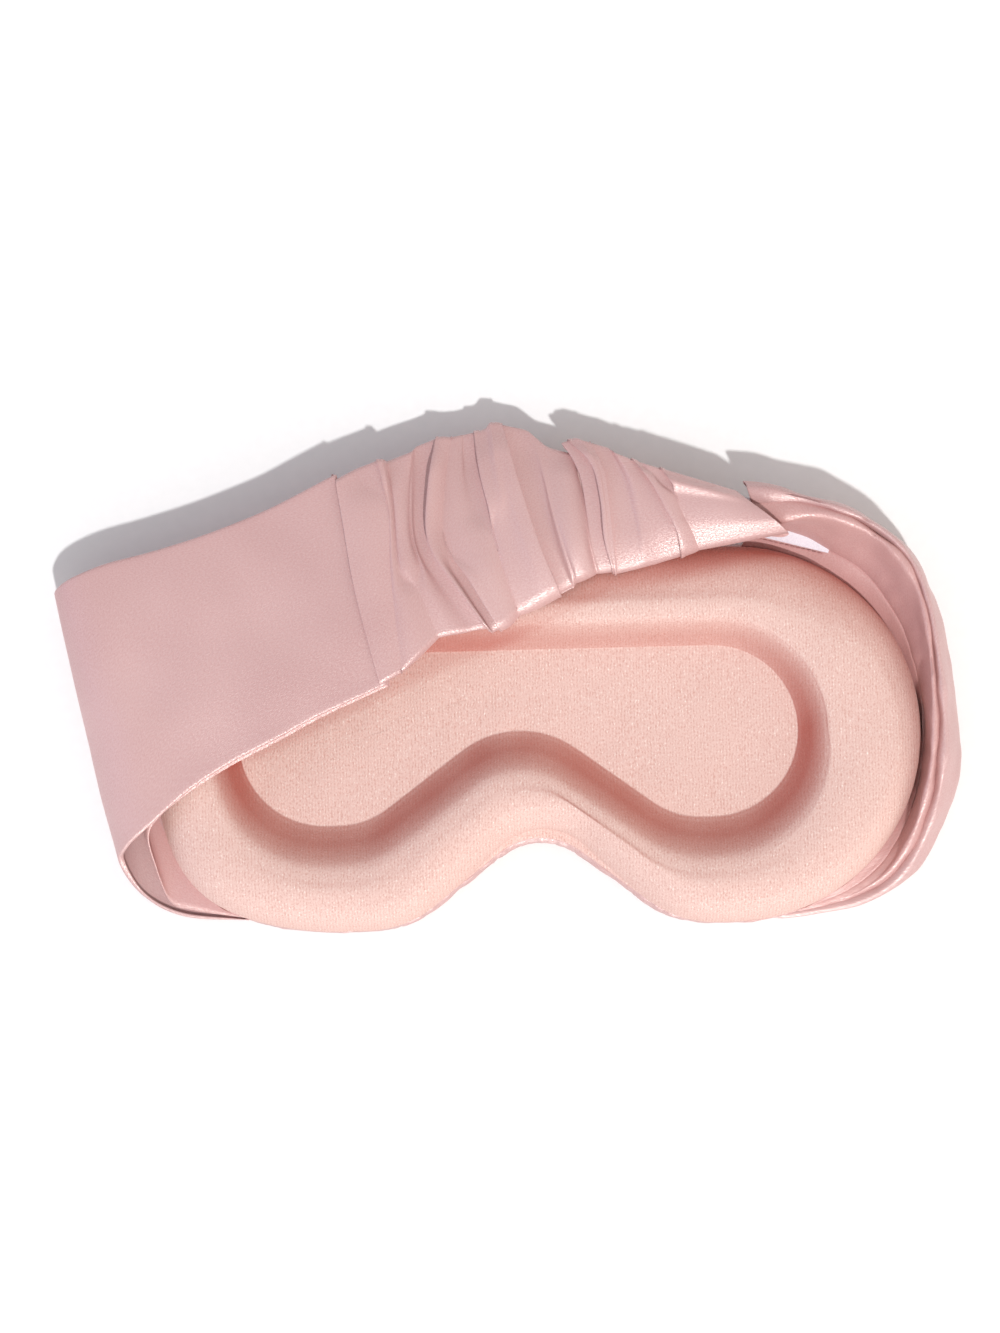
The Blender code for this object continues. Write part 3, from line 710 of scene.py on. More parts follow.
@dataclass(frozen=True)
class LeftWing:
    """Flat double satin wing: from the left side seam, round its fold, to the gathered band."""

    def face(self, lower: Array, upper: Array, reach: float, z: float) -> Array:
        """One ply of the wing; rows from its lower to its upper edge, columns from the root.

        Two edge curves are joined by straight rows, apart from the root, which follows the
        side seam, and the cloth swells a little between its edges.
        """
        shares = np.linspace(0, 1, 48)
        root = side_arc(-1, reach, -60 + 102 * shares, z)
        rows = lower[:, None] * (1 - shares[:, None]) + upper[:, None] * shares[:, None]
        grid = catmull(np.concatenate([root[None], rows]), 150).transpose(1, 0, 2)
        column = np.linspace(0, 1, grid.shape[1])[None, :]
        across = np.sin(math.pi * shares)[:, None]
        flat = smoothstep(column, 0.35, 0.5)
        grid[..., 2] += across * flat * (0.9 + 0.5 * ripple(grid[..., :2], 60.0, 11))
        fold = np.exp(-((column - 0.27) / 0.07) ** 2)
        grid[..., 0] -= fold * across * 0.6
        grid += normals_of(grid) * (ripple(grid, 24.0, 12) * 0.10)[..., None]
        grid[..., 2] = np.maximum(grid[..., 2] - 0.7 * smoothstep(column, 0.93, 1.0), 0.5)
        return grid

    def build(self) -> list[bpy.types.Object]:
        """Outer and lining plies, each one running from the mask to the moving band.

        The lining is cut shorter, so at the lower corner it runs straight from the seam to
        the top and leaves a pocket behind it, and its lower edge shows below the outer ply's.
        """
        outer = self.face(np.array([
            (-97.5, -45.0, 1.9), (-108.6, -39.0, 3.6), (-113.9, -30.2, 9.6), (-111.6, -25.6, 15.6),
            (-104.4, -19.5, 19.6), (-93.3, -10.2, 21.2), (-81.4, -2.9, 22.2), (-69.3, 3.0, 22.8),
            (-57.4, 9.0, 22.9), (-42.0, 15.6, 22.9), (-39.4, 16.6, 22.8)]), np.array([
                (-106.0, 41.0, 1.4), (-123.0, 43.4, 4.0), (-128.6, 42.0, 11.0),
                (-127.0, 43.6, 16.4), (-122.4, 46.0, 19.0), (-113.6, 49.2, 20.2),
                (-101.0, 52.2, 20.6), (-86.0, 56.6, 20.8), (-70.0, 62.6, 21.0),
                (-54.0, 70.3, 21.4), (-51.6, 71.4, 21.3)]), 1.2, 2.6)
        inner = self.face(np.array([
            (-94.0, -44.2, 5.0), (-100.6, -41.6, 5.6), (-104.2, -31.0, 10.0), (-104.9, -22.8, 15.2),
            (-100.6, -17.2, 18.4), (-91.8, -10.7, 19.8), (-80.8, -4.3, 20.6), (-68.7, 1.6, 21.2),
            (-56.8, 7.7, 21.3), (-41.4, 14.4, 21.3), (-38.8, 15.4, 21.2)]), np.array([
                (-104.6, 40.4, 3.4), (-119.6, 42.4, 5.8), (-125.6, 41.4, 11.4),
                (-124.4, 42.8, 15.0), (-120.4, 45.2, 17.4), (-112.8, 48.2, 18.6),
                (-100.6, 51.2, 19.0), (-85.8, 55.7, 19.2), (-69.8, 61.7, 19.4),
                (-53.9, 69.5, 19.8), (-51.5, 70.5, 19.7)]), 0.8, 5.2)
        dress(frame["nodes"]["left_wing_root"], SATIN)
        return [wing_ply("left_wing_satin", rolled(outer, 0.85, 0.85), SATIN, "left_wing_outer"),
                wing_ply("left_wing_inner_satin", inner, LINING, "left_wing_lining")]


@dataclass(frozen=True)
class RightWing:
    """Double satin wing folded up round the right side of the mask and its top corner.

    Rails run along the wing from the gathered band to the bottom corner of the mask. The
    outer ply climbs from the side seam over the outer ridge; the lining ply drops from the
    inner ridge to the seam on the pad's side.
    """

    def rails(self) -> dict[str, Array]:
        """Named rails, as smooth curves of equal point counts."""
        count = 190
        sheets = {
            "root": [(61, 62, 14), (70, 60, 9), (82, 53, 4), (92, 36.5, 2.4), (100.5, 22, 2.2),
                     (104.6, 4, 2.2), (103.5, -13, 2.2), (97, -27.5, 2.2), (88, -38, 2.2),
                     (78, -45.5, 2.2), (64, -50.0, 2.2)],
            "swell": [(54, 66.5, 17), (59.5, 68.0, 18), (64, 67.0, 18), (71.5, 64.0, 17),
                      (76, 62.4, 15), (85, 59.4, 12), (93.4, 54.6, 10.5), (100.4, 49.5, 9.5),
                      (105.4, 42.0, 9), (108.2, 34.0, 9), (111.4, 21.8, 8.5), (114.0, 3.5, 7.6),
                      (113.9, -12.2, 7), (111.2, -22.6, 6), (107.0, -31.4, 5), (101.0, -39.4, 4),
                      (92.6, -45.2, 3.2), (81, -48.0, 2.6), (64, -50.4, 2.3)],
            "outer_ridge": [(55, 64.5, 20), (60.0, 66.2, 21), (66, 65.0, 21.6), (71.5, 63.2, 22),
                            (75.4, 61.9, 22.4), (84.9, 59.0, 22.5), (92.7, 54.3, 22.5),
                            (100.0, 48.6, 22.3), (105.2, 34.5, 22.2), (108.4, 11.8, 21.2),
                            (109.0, -8.0, 18.6), (106.3, -23.2, 13.4), (102.4, -33.2, 9),
                            (95.6, -42.8, 5.2), (88.0, -46.2, 4.0), (78.0, -48.2, 3.6),
                            (64.0, -50.0, 3.4)],
            "groove": [(56, 62.0, 19.5), (62, 62.4, 20.6), (70.5, 61.6, 21.6), (75.8, 61.0, 21.9),
                       (79.8, 60.2, 21.2), (89.6, 55.0, 20.4), (98.2, 48.0, 20.2),
                       (103.7, 38.0, 20.0), (107.0, 14.4, 19.2), (107.3, -8.7, 16.6),
                       (104.0, -24.8, 11.4), (99.6, -34.4, 7.4), (93.6, -42.4, 4.4),
                       (86, -45.6, 3.8), (78, -47.2, 3.9), (64, -49.4, 3.9)],
            "inner_ridge": [(57, 57.0, 17.5), (62, 55.4, 18), (66.0, 55.4, 18.6), (69, 57.0, 19.6),
                            (72, 58.4, 20.6), (75.4, 59.6, 21.8), (80.3, 58.2, 22.3),
                            (86.3, 55.0, 22.4), (92.9, 51.0, 22.4), (98.0, 46.8, 22.3),
                            (102.0, 39.6, 22.2), (104.6, 27.4, 22.0), (105.6, 10.9, 21.8),
                            (105.8, -1.2, 20.8), (105.0, -11.6, 18.8), (102.2, -23.4, 14.6),
                            (98.6, -33.4, 10), (92.4, -41.6, 5.2), (85, -45.0, 4.2),
                            (78, -46.6, 4.2), (64, -49.0, 4.2)],
            "inner_base": [(58, 58.0, 9.6), (64, 57.2, 8.6), (70, 55.0, 7.4), (78.6, 50.0, 6.4),
                           (85.0, 47.2, 7.0), (89.4, 45.6, 7.4), (92.8, 40.4, 7.6),
                           (97.0, 33.0, 8.0), (100.4, 27.7, 8.4), (103.9, 16.5, 8.6),
                           (104.9, 2.4, 8.4), (104.0, -11.9, 7.6), (101.0, -23.0, 6.8),
                           (96.6, -31.6, 5.9), (91.6, -38.4, 5.2), (86, -42.4, 4.8),
                           (78, -45.6, 4.6), (64, -48.8, 4.6)],
        }
        tail = {"root": 2.4, "swell": 2.8, "outer_ridge": 3.4, "groove": 3.6, "inner_ridge": 3.9,
                "inner_base": 4.4}
        rails = {}
        for name, points in sheets.items():
            end = [(59.0, -49.6, tail[name]), (53.0, -48.6, tail[name])]
            rails[name] = soften(even(np.array([*points, *end]), count), 7.0, 0)
        return rails

    def seam_line(self, count: int) -> Array:
        """Where the lining meets the pad's seam, round the side from the top edge."""
        degrees = np.array([86.0, 74.0, 62.0, 48.0, 34.0, 17.0, 0.0, -18.0, -35.0, -52.0, -68.0,
                            -79.0, -88.0])
        return even(side_arc(1, 0.7, degrees, 5.6), count)

    def build(self) -> list[bpy.types.Object]:
        """Outer and lining plies, running from the mask to the moving band."""
        rails = self.rails()
        count = len(rails["root"])
        outer_rows = [rails["root"], rails["root"] * 0.45 + rails["swell"] * 0.55 - (0, 0, 1.6),
                      rails["swell"], rails["swell"] * 0.45 + rails["outer_ridge"] * 0.55,
                      rails["outer_ridge"], rails["groove"] - (0, 0, 0.9),
                      rails["groove"] - (0, 0, 4.0)]
        outer_rows[3] = outer_rows[3] + self._bulge(outer_rows[3], 0.7)
        mid = rails["inner_ridge"] * 0.45 + rails["inner_base"] * 0.55
        seam, base = self.seam_line(count), rails["inner_base"]
        lining_rows = [rails["groove"] - (0, 0, 3.8), rails["groove"] - (0, 0, 1.2),
                       rails["inner_ridge"], mid + self._bulge(mid, 0.6),
                       base * 0.9 + mid * 0.1, base - (0, 0, 0.9), base * 0.88 + seam * 0.12,
                       base * 0.5 + seam * 0.5, seam]
        pieces = []
        for name, rows, finish, node, seed in (
                ("right_wing_satin", outer_rows, SATIN, "right_wing_outer", 21),
                ("right_wing_inner_satin", lining_rows, LINING, "right_wing_lining", 22)):
            grid = catmull(np.array(rows), 60)
            wave = ripple(grid, 17.0, seed) * 0.22 + ripple(grid, 7.0, seed + 5) * 0.06
            grid = grid + normals_of(grid) * wave[..., None]
            pieces.append(wing_ply(name, grid, finish, node))
        dress(frame["nodes"]["right_wing_root"], SATIN)
        return pieces

    @staticmethod
    def _bulge(line: Array, size: float) -> Array:
        """Outward push of a rail, seen from the middle of the right lobe."""
        away = line - np.array([53.0, 0.0, 0.0])
        away[:, 2] = 0
        return unit(away) * size


# ---------------------------------------------------------------- gathered band


class Over(Enum):
    """Which side of a pleat lies on top."""

    RIGHT = "right"
    LEFT = "left"
    RIDGE = "ridge"
    NONE = "none"


def clear_of_pad(grid: Array, gap: float) -> Array:
    """Lifts what dips into the pad's rim, from the depth of each point inside its outline.

    The rim's height is rim - (rim - seam) max(0, 1 - depth / 11)^2.5.
    """
    middle, _ = PAD.side()
    x = np.maximum(np.abs(grid[..., 0]) - middle, 0)
    depth = PAD.height / 2 - np.hypot(x, grid[..., 1])
    rim = MaskBody.rim_z - (MaskBody.rim_z - MaskBody.seam_z) * np.clip(1 - depth / 11, 0, 1) ** 2.5
    inside = depth > 0
    lifted = grid.copy()
    lifted[..., 2] = np.where(inside, np.maximum(grid[..., 2], rim + gap), grid[..., 2])
    return lifted


@dataclass(frozen=True)
class Pleat:
    """One line across the gathered casing, from its lower to its upper edge.

    Attributes:
        line: five points of the line, evenly spaced, in millimetres.
        over: which side lies on top.
        lift: height of the top ply above the cloth beside it.
        tuck: how far the cloth runs under.
        start: share of the width from which the pleat is there.
        stop: share of the width up to which it is there.
        valley: how far the cloth dips beside the fold.
        low_z: height of the cloth at the lower edge.
        high_z: height at the upper edge.
    """

    line: tuple[tuple[float, float], ...]
    over: Over
    lift: float = 1.6
    tuck: float = 3.0
    start: float = -0.2
    stop: float = 1.2
    valley: float = 0.2
    low_z: float = 22.6
    high_z: float = 18.0

    def strength(self, shares: Array) -> Array:
        """1 where the pleat is full and 0 where it is absent, along the width."""
        return smoothstep(shares, self.start - 0.08, self.start + 0.1) * (
            1 - smoothstep(shares, self.stop - 0.1, self.stop + 0.08))

    def knots(self) -> Array:
        """Along-band offset and height of the cloth at this line, from left to right."""
        lift, tuck, valley = self.lift, self.tuck, self.valley
        right_over = np.array([
            (-6.0, -0.3 * valley), (-2.8, -valley), (0.4 * tuck, -0.8 * valley), (tuck, 0.0),
            (0.4 * tuck, 0.72 * lift), (0.0, 0.86 * lift), (1.4, lift), (4.2, 0.88 * lift)])
        if self.over is Over.RIGHT:
            return right_over
        if self.over is Over.LEFT:
            return right_over[::-1] * (-1, 1)
        if self.over is Over.RIDGE:
            return np.array([(-6.0, 0.4 * lift), (-3.0, 0.85 * lift), (-0.8, lift),
                             (1.6, 0.5 * lift), (4.0, -0.6 * valley), (6.5, -valley)])
        return np.zeros((1, 2))


@dataclass(frozen=True)
class GatheredBand:
    """The elasticated casing: a pleated outer ply with rolled edges, a lining and an elastic."""

    body: str = "back_band"
    spacing: float = 0.45
    rows: int = 64
    bulge: float = 0.9
    high_radius: float = 1.3

    def pleats(self) -> list[Pleat]:
        """The casing's lines from the left seam to its right end."""
        right, left = Over.RIGHT, Over.LEFT
        return [
            Pleat(((-41.5, 14.7), (-45.1, 28.6), (-48.3, 42.7), (-50.5, 57.0), (-52.3, 71.3)),
                  Over.NONE, low_z=23.9, high_z=22.8),
            Pleat(((-35.5, 17.9), (-37.0, 32.6), (-38.0, 47.4), (-38.2, 62.1), (-42.1, 76.0)),
                  right, 1.9, 3.0, start=0.88, low_z=23.8, high_z=21.2),
            Pleat(((-25.2, 27.0), (-29.9, 39.1), (-33.9, 51.4), (-35.5, 64.2), (-36.1, 77.0)),
                  Over.RIDGE, 1.3, 0.0, start=0.35, valley=0.9, low_z=23.3, high_z=19.0),
            Pleat(((-12.7, 28.8), (-21.2, 40.8), (-28.6, 53.0), (-28.3, 67.7), (-25.8, 82.0)),
                  right, 3.0, 4.2, valley=1.2, low_z=23.2, high_z=16.6),
            Pleat(((-9.5, 28.2), (-16.9, 41.0), (-23.5, 53.6), (-23.0, 68.2), (-20.8, 82.6)),
                  right, 2.1, 2.4, stop=0.36, valley=0.9, low_z=23.4, high_z=16.2),
            Pleat(((-3.6, 32.0), (-7.7, 44.7), (-11.1, 57.6), (-14.3, 70.5), (-15.9, 83.6)),
                  right, 2.2, 3.0, start=0.5, valley=1.2, low_z=23.4, high_z=15.8),
            Pleat(((8.5, 37.5), (3.6, 49.2), (-0.3, 61.2), (-3.7, 73.3), (-6.7, 85.4)),
                  left, 2.5, 3.6, valley=1.2, low_z=23.4, high_z=15.6),
            Pleat(((14.9, 41.1), (12.7, 49.8), (11.1, 58.6), (10.7, 67.6), (10.3, 77.4)),
                  Over.RIDGE, 1.8, 0.0, valley=1.2, low_z=23.2, high_z=17.0),
            Pleat(((21.1, 42.2), (18.3, 52.6), (17.6, 62.9), (15.3, 72.9), (8.9, 80.0)),
                  right, 2.4, 2.4, low_z=23.0, high_z=18.4),
            Pleat(((22.9, 42.0), (22.2, 51.3), (21.4, 61.1), (20.2, 70.8), (16.6, 79.4)),
                  left, 1.6, 1.6, low_z=23.0, high_z=19.6),
            Pleat(((38.9, 45.2), (37.8, 53.4), (34.4, 61.0), (30.6, 68.4), (25.6, 75.0)),
                  right, 2.0, 3.6, low_z=22.8, high_z=22.0),
            Pleat(((45.4, 46.7), (42.9, 53.4), (39.7, 59.7), (37.1, 66.4), (33.2, 72.1)),
                  right, 2.2, 2.8, start=0.72, low_z=22.6, high_z=23.6),
            Pleat(((70.4, 52.0), (66.6, 55.4), (62.6, 58.6), (58.4, 61.8), (54.0, 65.4)),
                  Over.NONE, low_z=22.9, high_z=22.8),
        ]

    def low_radius(self, place: Array) -> Array:
        """Radius of the rolled lower edge, growing towards the right end."""
        return np.interp(place, [0.0, 0.2, 0.4, 0.6, 0.75, 1.0], [1.4, 1.9, 4.0, 3.6, 4.6, 3.0])

    def base(self) -> tuple[Array, Array, Array, Array]:
        """The casing without its thickness.

        Every row is a polyline through the pleats' knots, resampled so that each stretch
        keeps its own columns and then rounded by smoothing.

        Returns:
            Places of shape (rows, columns, 3), heights of the pleats above them, each column's
            share of the way along the band, and each column's directions out of the band at
            its lower and upper edge, of shape (2, columns, 3).
        """
        pleats = self.pleats()
        shares = np.linspace(0.0, 1.0, self.rows)
        lines = np.array([catmull(np.array(p.line), 200) for p in pleats])
        width = np.linalg.norm(np.diff(lines, axis=1), axis=-1).sum(axis=1)
        place = (lines[:, 0, 0] - lines[0, 0, 0]) / (lines[-1, 0, 0] - lines[0, 0, 0])
        low = self.low_radius(place) / width
        high = self.high_radius / width
        index = (low[:, None] + (1 - low - high)[:, None] * shares[None]) * 199
        floor = np.minimum(index.astype(int), 198)
        part = (index - floor)[..., None]
        take = np.take_along_axis
        points = (take(lines, floor[..., None], 1) * (1 - part)
                  + take(lines, floor[..., None] + 1, 1) * part)
        along = unit(np.gradient(points, axis=0))
        drop = np.array([[p.low_z, p.high_z] for p in pleats])
        z = drop[:, :1] + (drop[:, 1:] - drop[:, :1]) * shares[None] ** 1.4
        droop = np.interp(place, [0.0, 0.3, 0.45, 1.0], [0.5, 0.8, 1.7, 1.9])[:, None]
        z = z + 1.6 * np.sin(math.pi * shares)[None]
        z = z - droop * np.clip(1 - shares / 0.3, 0, 1)[None] ** 2
        room = np.linalg.norm(np.diff(points, axis=0), axis=-1)
        out = unit(np.stack([points[:, 0] - points[:, 6], points[:, -1] - points[:, -7]], axis=1))
        runs = []
        for k, pleat in enumerate(pleats):
            strength = pleat.strength(shares)[None, :, None]
            offset, height = pleat.knots().T[:, :, None, None]
            before = (room[max(k - 1, 0)] * 0.42)[:, None]
            after = (room[min(k, len(room) - 1)] * 0.42)[:, None]
            near = np.clip(offset * strength, -before, after)
            run = np.concatenate([points[k] + along[k] * near,
                                  np.broadcast_to(z[k][:, None], near.shape), height * strength,
                                  np.full(near.shape, place[k]),
                                  np.broadcast_to(out[k].ravel(), (*near.shape[:2], 4))], axis=-1)
            if runs:
                start, gap = runs[-1][-1], run[0] - runs[-1][-1]
                wide = np.linalg.norm(gap[:, :2], axis=-1)
                for u in (0.2, 0.4, 0.6, 0.8):
                    middle = start + gap * u
                    middle[:, 3] += self.bulge * math.sin(math.pi * u) * np.clip(wide / 12, 0, 1)
                    runs.append(middle[None])
            runs.append(run)
        full = np.concatenate(runs)
        where, xy, edges = full[:, 0, 4], full[..., :2], full[:, 0, 5:]
        length = np.linalg.norm(np.diff(xy, axis=0), axis=-1).max(axis=1)
        steps = np.maximum(2, np.ceil(length / self.spacing)).astype(int)
        source = np.concatenate([i + np.linspace(0, 1, n, endpoint=False)
                                 for i, n in enumerate(steps)] + [[len(steps)]])
        before = np.minimum(source.astype(int), len(steps) - 1)
        part = (source - before)[:, None, None]
        grid = full[before] * (1 - part) + full[before + 1] * part
        run = np.interp(source, np.arange(len(where)), where)
        grid = soften(grid[..., :4].transpose(1, 0, 2), 2.6, 1)
        grid = soften(grid, 2.0, 0)
        turned = np.column_stack([np.interp(source, np.arange(len(where)), e) for e in edges.T])
        turned = soften(turned, 8.0, 0).reshape(-1, 2, 2).transpose(1, 0, 2)
        outward = np.concatenate([unit(turned), np.zeros((2, len(run), 1))], axis=-1)
        return grid[..., :3], grid[..., 3], run, outward

    def outer(self) -> bpy.types.Object:
        """The pleated outer ply, rolled under at both edges.

        On the roll a point is centre + radius (sin a out + cos a up), where a starts at the
        tilt of the cloth beside it, and the pleats' rise fades out with the cosine of a.
        """
        place, rise, run, outward = self.base()
        share = np.linspace(0, 1, self.rows)[:, None] + 0 * run[None]
        drawn = np.stack([run[None] * 120 + 0 * share, share * 12], axis=-1)
        calm = 1 - 0.9 * smoothstep(run, 0.45, 0.75)[None]
        rise = rise + calm * ripple(drawn, 15.0, 31) * 0.2
        rise = rise * (1 - 0.7 * smoothstep(share, 0.82, 1.0))
        up = np.array([0.0, 0.0, 1.0])
        top = place + up * rise[..., None]
        parts = [top]
        for row, inner, radius, turn, front in ((0, 2, self.low_radius(run), 115, True),
                                                (-1, -3, self.high_radius, 160, False)):
            out = outward[row][None]
            radius = np.broadcast_to(radius, len(run))[None, :, None]
            drop = place[inner] - place[row]
            tilt = np.arctan2(np.maximum(drop[:, 2], 0), np.linalg.norm(drop[:, :2], axis=1))
            first = soften(tilt, 6.0, 0)[None, :, None]
            angles = first + (math.radians(turn) - first) * np.linspace(0, 1, 16)[1:, None, None]
            centre = place[row][None] - radius * (np.sin(first) * out + np.cos(first) * up)
            high = rise[row][None, :, None]
            roll = centre + radius * (np.sin(angles) * out + np.cos(angles) * up) + high * (
                0.3 * (np.sin(angles) - np.sin(first)) * out
                + np.clip(np.cos(angles) / np.cos(first), 0, 1) * up)
            parts = [roll[::-1], *parts] if front else [*parts, roll]
        grid = clear_of_pad(np.concatenate(parts), 0.9)
        piece = grid_mesh("gathered_casing_satin", grid)
        row, column = np.divmod(np.arange(grid.shape[0] * grid.shape[1]), grid.shape[1])
        relax(piece, (row < 10) | (row > grid.shape[0] - 11) | (column < 6)
              | (column > grid.shape[1] - 7), 0.4, 0.01)
        thicken(piece, SATIN_PLY)
        finish_piece(piece, SATIN, self.body, "satin", "band_casing_outer")
        return piece

    def under(self, drop: float, first: float, last: float, inset: float, columns: int) -> Array:
        """A plain ply below the gathers, between two shares of the width."""
        place, _, run, _ = self.base()
        shares = np.linspace(first, last, 24) * (self.rows - 1)
        index = np.minimum(shares.astype(int), self.rows - 2)
        part = (shares - index)[:, None, None]
        rows = place[index] * (1 - part) + place[index + 1] * part
        ordered = np.maximum.accumulate(run + np.arange(len(run)) * 1e-6)
        wanted = np.linspace(inset, 1 - inset, columns)
        grid = np.stack([np.array([np.interp(wanted, ordered, row[:, k]) for k in range(3)]).T
                         for row in soften(rows, 12.0, 1)])
        grid[..., 2] -= drop
        return grid

    def lining(self) -> bpy.types.Object:
        """The lining ply under the elastic."""
        grid = self.under(3.6, 0.0, 1.0, 0.0, 150)
        grid[..., 2] += ripple(grid[..., :2], 11.0, 35) * 0.12
        piece = grid_mesh("gathered_casing_lining", grid)
        thicken(piece, SATIN_PLY)
        finish_piece(piece, LINING, self.body, "satin", "band_casing_lining")
        return piece

    def elastic(self) -> bpy.types.Object:
        """The ribbed elastic inside the casing."""
        grid = self.under(2.0, 0.2, 0.8, 0.04, 220)
        grid[..., 2] += (np.sin(np.linspace(0, 1, 220) * 2 * math.pi * 70) * 0.06)[None]
        piece = grid_mesh("band_elastic_strip", grid)
        thicken(piece, 0.8, 0.0)
        finish_piece(piece, ELASTIC, self.body, "elastic", "band_elastic")
        return piece

    def seam(self, name: str, column: int, toward: int, node: str) -> bpy.types.Object:
        """The seam allowance at one end of the casing: two turned edges under the gathers."""
        place = self.base()[0]
        line = place[:, column]
        inward = place[:, column + toward * 12] - line
        inward[:, 2] = 0
        inward = unit(inward)
        profile = [(0.4, -0.9), (2.4, -0.8), (3.6, -1.0), (3.8, -1.5), (2.6, -1.8), (0.6, -1.7)]
        grid = np.array([line + inward * a + np.array([0, 0, z]) for a, z in profile])
        grid = catmull(grid, 22)
        if toward < 0:
            grid = grid[::-1]
        piece = grid_mesh(name, grid)
        thicken(piece, SATIN_PLY, 0.0)
        finish_piece(piece, LINING, self.body, "satin", node)
        return piece

    def tack(self, name: str, share: float, node: str) -> bpy.types.Object:
        """A row of zigzag stitches across one end of the elastic."""
        grid = self.under(1.45, 0.24, 0.76, 0.05, 200)
        column = int(share * 199)
        line = even(grid[:, column], 25)
        line[:, 0] += np.where(np.arange(25) % 2, 1.0, -1.0) * 0.9
        piece = stitch_line(name, line, 0.18)
        finish_piece(piece, THREAD, self.body, "thread", node)
        return piece

    def build(self) -> list[bpy.types.Object]:
        """Every piece that moves with the gathered band."""
        return [
            self.outer(), self.lining(), self.elastic(),
            self.seam("left_seam_allowance", 0, 1, "left_band_seam"),
            self.seam("right_seam_allowance", -1, -1, "right_band_seam"),
            self.tack("left_elastic_stitches", 0.0, "left_elastic_tack"),
            self.tack("right_elastic_stitches", 1.0, "right_elastic_tack"),
        ]


# ---------------------------------------------------------------- care label


@dataclass(frozen=True)
class CareLabel:
    """A plain white tape label behind the top edge, with the stitches that hold it."""

    turn: float = 15.0
    width: float = 27.0
    length: float = 9.4
    hem: float = 2.0

    def build(self) -> list[bpy.types.Object]:
        """The label, which curls a little, and its stitches."""
        hinge = next(j for j in frame["joints"] if j["name"] == "label_flip")
        edge = np.array(hinge["pos_m"]) / MM
        angle = math.radians(self.turn)
        along = np.array([math.cos(angle), -math.sin(angle), 0.0])
        out = np.array([math.sin(angle), math.cos(angle), 0.0])
        across = np.linspace(-0.5, 0.5, 40)[None, :, None] * self.width
        reach = np.linspace(0, 1, 18)[:, None, None]
        curl = 2.4 * reach**1.3 + 0.25 * np.sin(across * 0.5) * reach
        grid = edge + along * across + out * reach * self.length + np.array([0, 0, 1]) * curl
        piece = grid_mesh("care_label_tape", grid[::-1])
        thicken(piece, 0.18)
        finish_piece(piece, LABEL, "label", "label", "care_label")
        line = np.linspace(-0.5, 0.5, 17)[:, None] * self.width * 0.9 * along + edge - out * 0.6
        line[:, 2] += 0.15
        stitches = stitch_line("label_stitches", line, 0.16)
        finish_piece(stitches, THREAD, "mask", "thread", "label_tack")
        return [piece, stitches]


# ---------------------------------------------------------------- shared making


def stitch_line(name: str, line: Array, radius: float) -> bpy.types.Object:
    """A row of thread stitches: each stretch of the line is one slim bulging capsule.

    A capsule's radius along its length t in 0..1 is radius sin(pi t)^0.4.
    """
    turns = np.linspace(0, 2 * math.pi, 6, endpoint=False)
    points, faces = [], []
    for start, end in zip(line[:-1], line[1:]):
        axis = unit(end - start)
        side = unit(np.cross(axis, (0.0, 0.0, 1.0)))
        lift = np.cross(side, axis)
        t = np.linspace(0.04, 0.96, 6)
        size = radius * np.sin(math.pi * t) ** 0.4
        ring = (start + (end - start) * (0.04 + 0.92 * t)[:, None])[:, None] + size[:, None, None] * (
            np.cos(turns)[None, :, None] * side + np.sin(turns)[None, :, None] * lift)
        offset = len(points) * 36
        points.append(ring.reshape(-1, 3))
        for i in range(5):
            faces += [[offset + i * 6 + j, offset + i * 6 + (j + 1) % 6,
                       offset + (i + 1) * 6 + (j + 1) % 6, offset + (i + 1) * 6 + j] for j in range(6)]
        faces.append([offset + j for j in reversed(range(6))])
        faces.append([offset + 30 + j for j in range(6)])
    mesh = bpy.data.meshes.new(name)
    mesh.from_pydata((np.concatenate(points) * MM).tolist(), [], faces)
    mesh.shade_smooth()
    made = bpy.data.objects.new(name, mesh)
    bpy.context.scene.collection.objects.link(made)
    mend(made)
    return made


def relax(piece: bpy.types.Object, held: NDArray, pressure: float, ease: float) -> None:
    """Lets a cloth swell a little in a short cloth simulation, then keeps the result.

    Args:
        piece: the cloth, before it has its thickness.
        held: mask of the points that are sewn down and stay.
        pressure: pressure under the cloth.
        ease: how much longer the cloth is than the space it fills, as a share.
    """
    scene = bpy.context.scene
    group = piece.vertex_groups.new(name="sewn")
    group.add(np.flatnonzero(held).tolist(), 1.0, "REPLACE")
    cloth = piece.modifiers.new("cloth", "CLOTH")
    settings = cloth.settings
    settings.quality = 6
    settings.mass = 0.12
    settings.bending_stiffness = 0.3
    settings.vertex_group_mass = group.name
    settings.use_pressure = pressure > 0
    settings.uniform_pressure_force = pressure
    settings.shrink_min = -ease
    settings.effector_weights.gravity = 0
    for step in range(1, RELAX_FRAMES + 1):
        scene.frame_set(step)
    count = len(piece.data.vertices)
    before, after = np.empty(count * 3), np.empty(count * 3)
    piece.data.vertices.foreach_get("co", before)
    moved = piece.evaluated_get(bpy.context.evaluated_depsgraph_get()).to_mesh()
    moved.vertices.foreach_get("co", after)
    shift = (after - before).reshape(-1, 3)
    size = np.linalg.norm(shift, axis=1, keepdims=True)
    shift *= RELAX_CAP * MM * np.tanh(size / (RELAX_CAP * MM)) / np.maximum(size, 1e-9)
    LOG.info("%s would move %.2f mm, capped at %.2f mm", piece.name, size.max() / MM, RELAX_CAP)
    piece.modifiers.remove(cloth)
    piece.vertex_groups.remove(group)
    scene.frame_set(1)
    piece.data.vertices.foreach_set("co", (before.reshape(-1, 3) + shift).ravel())
    piece.data.update()


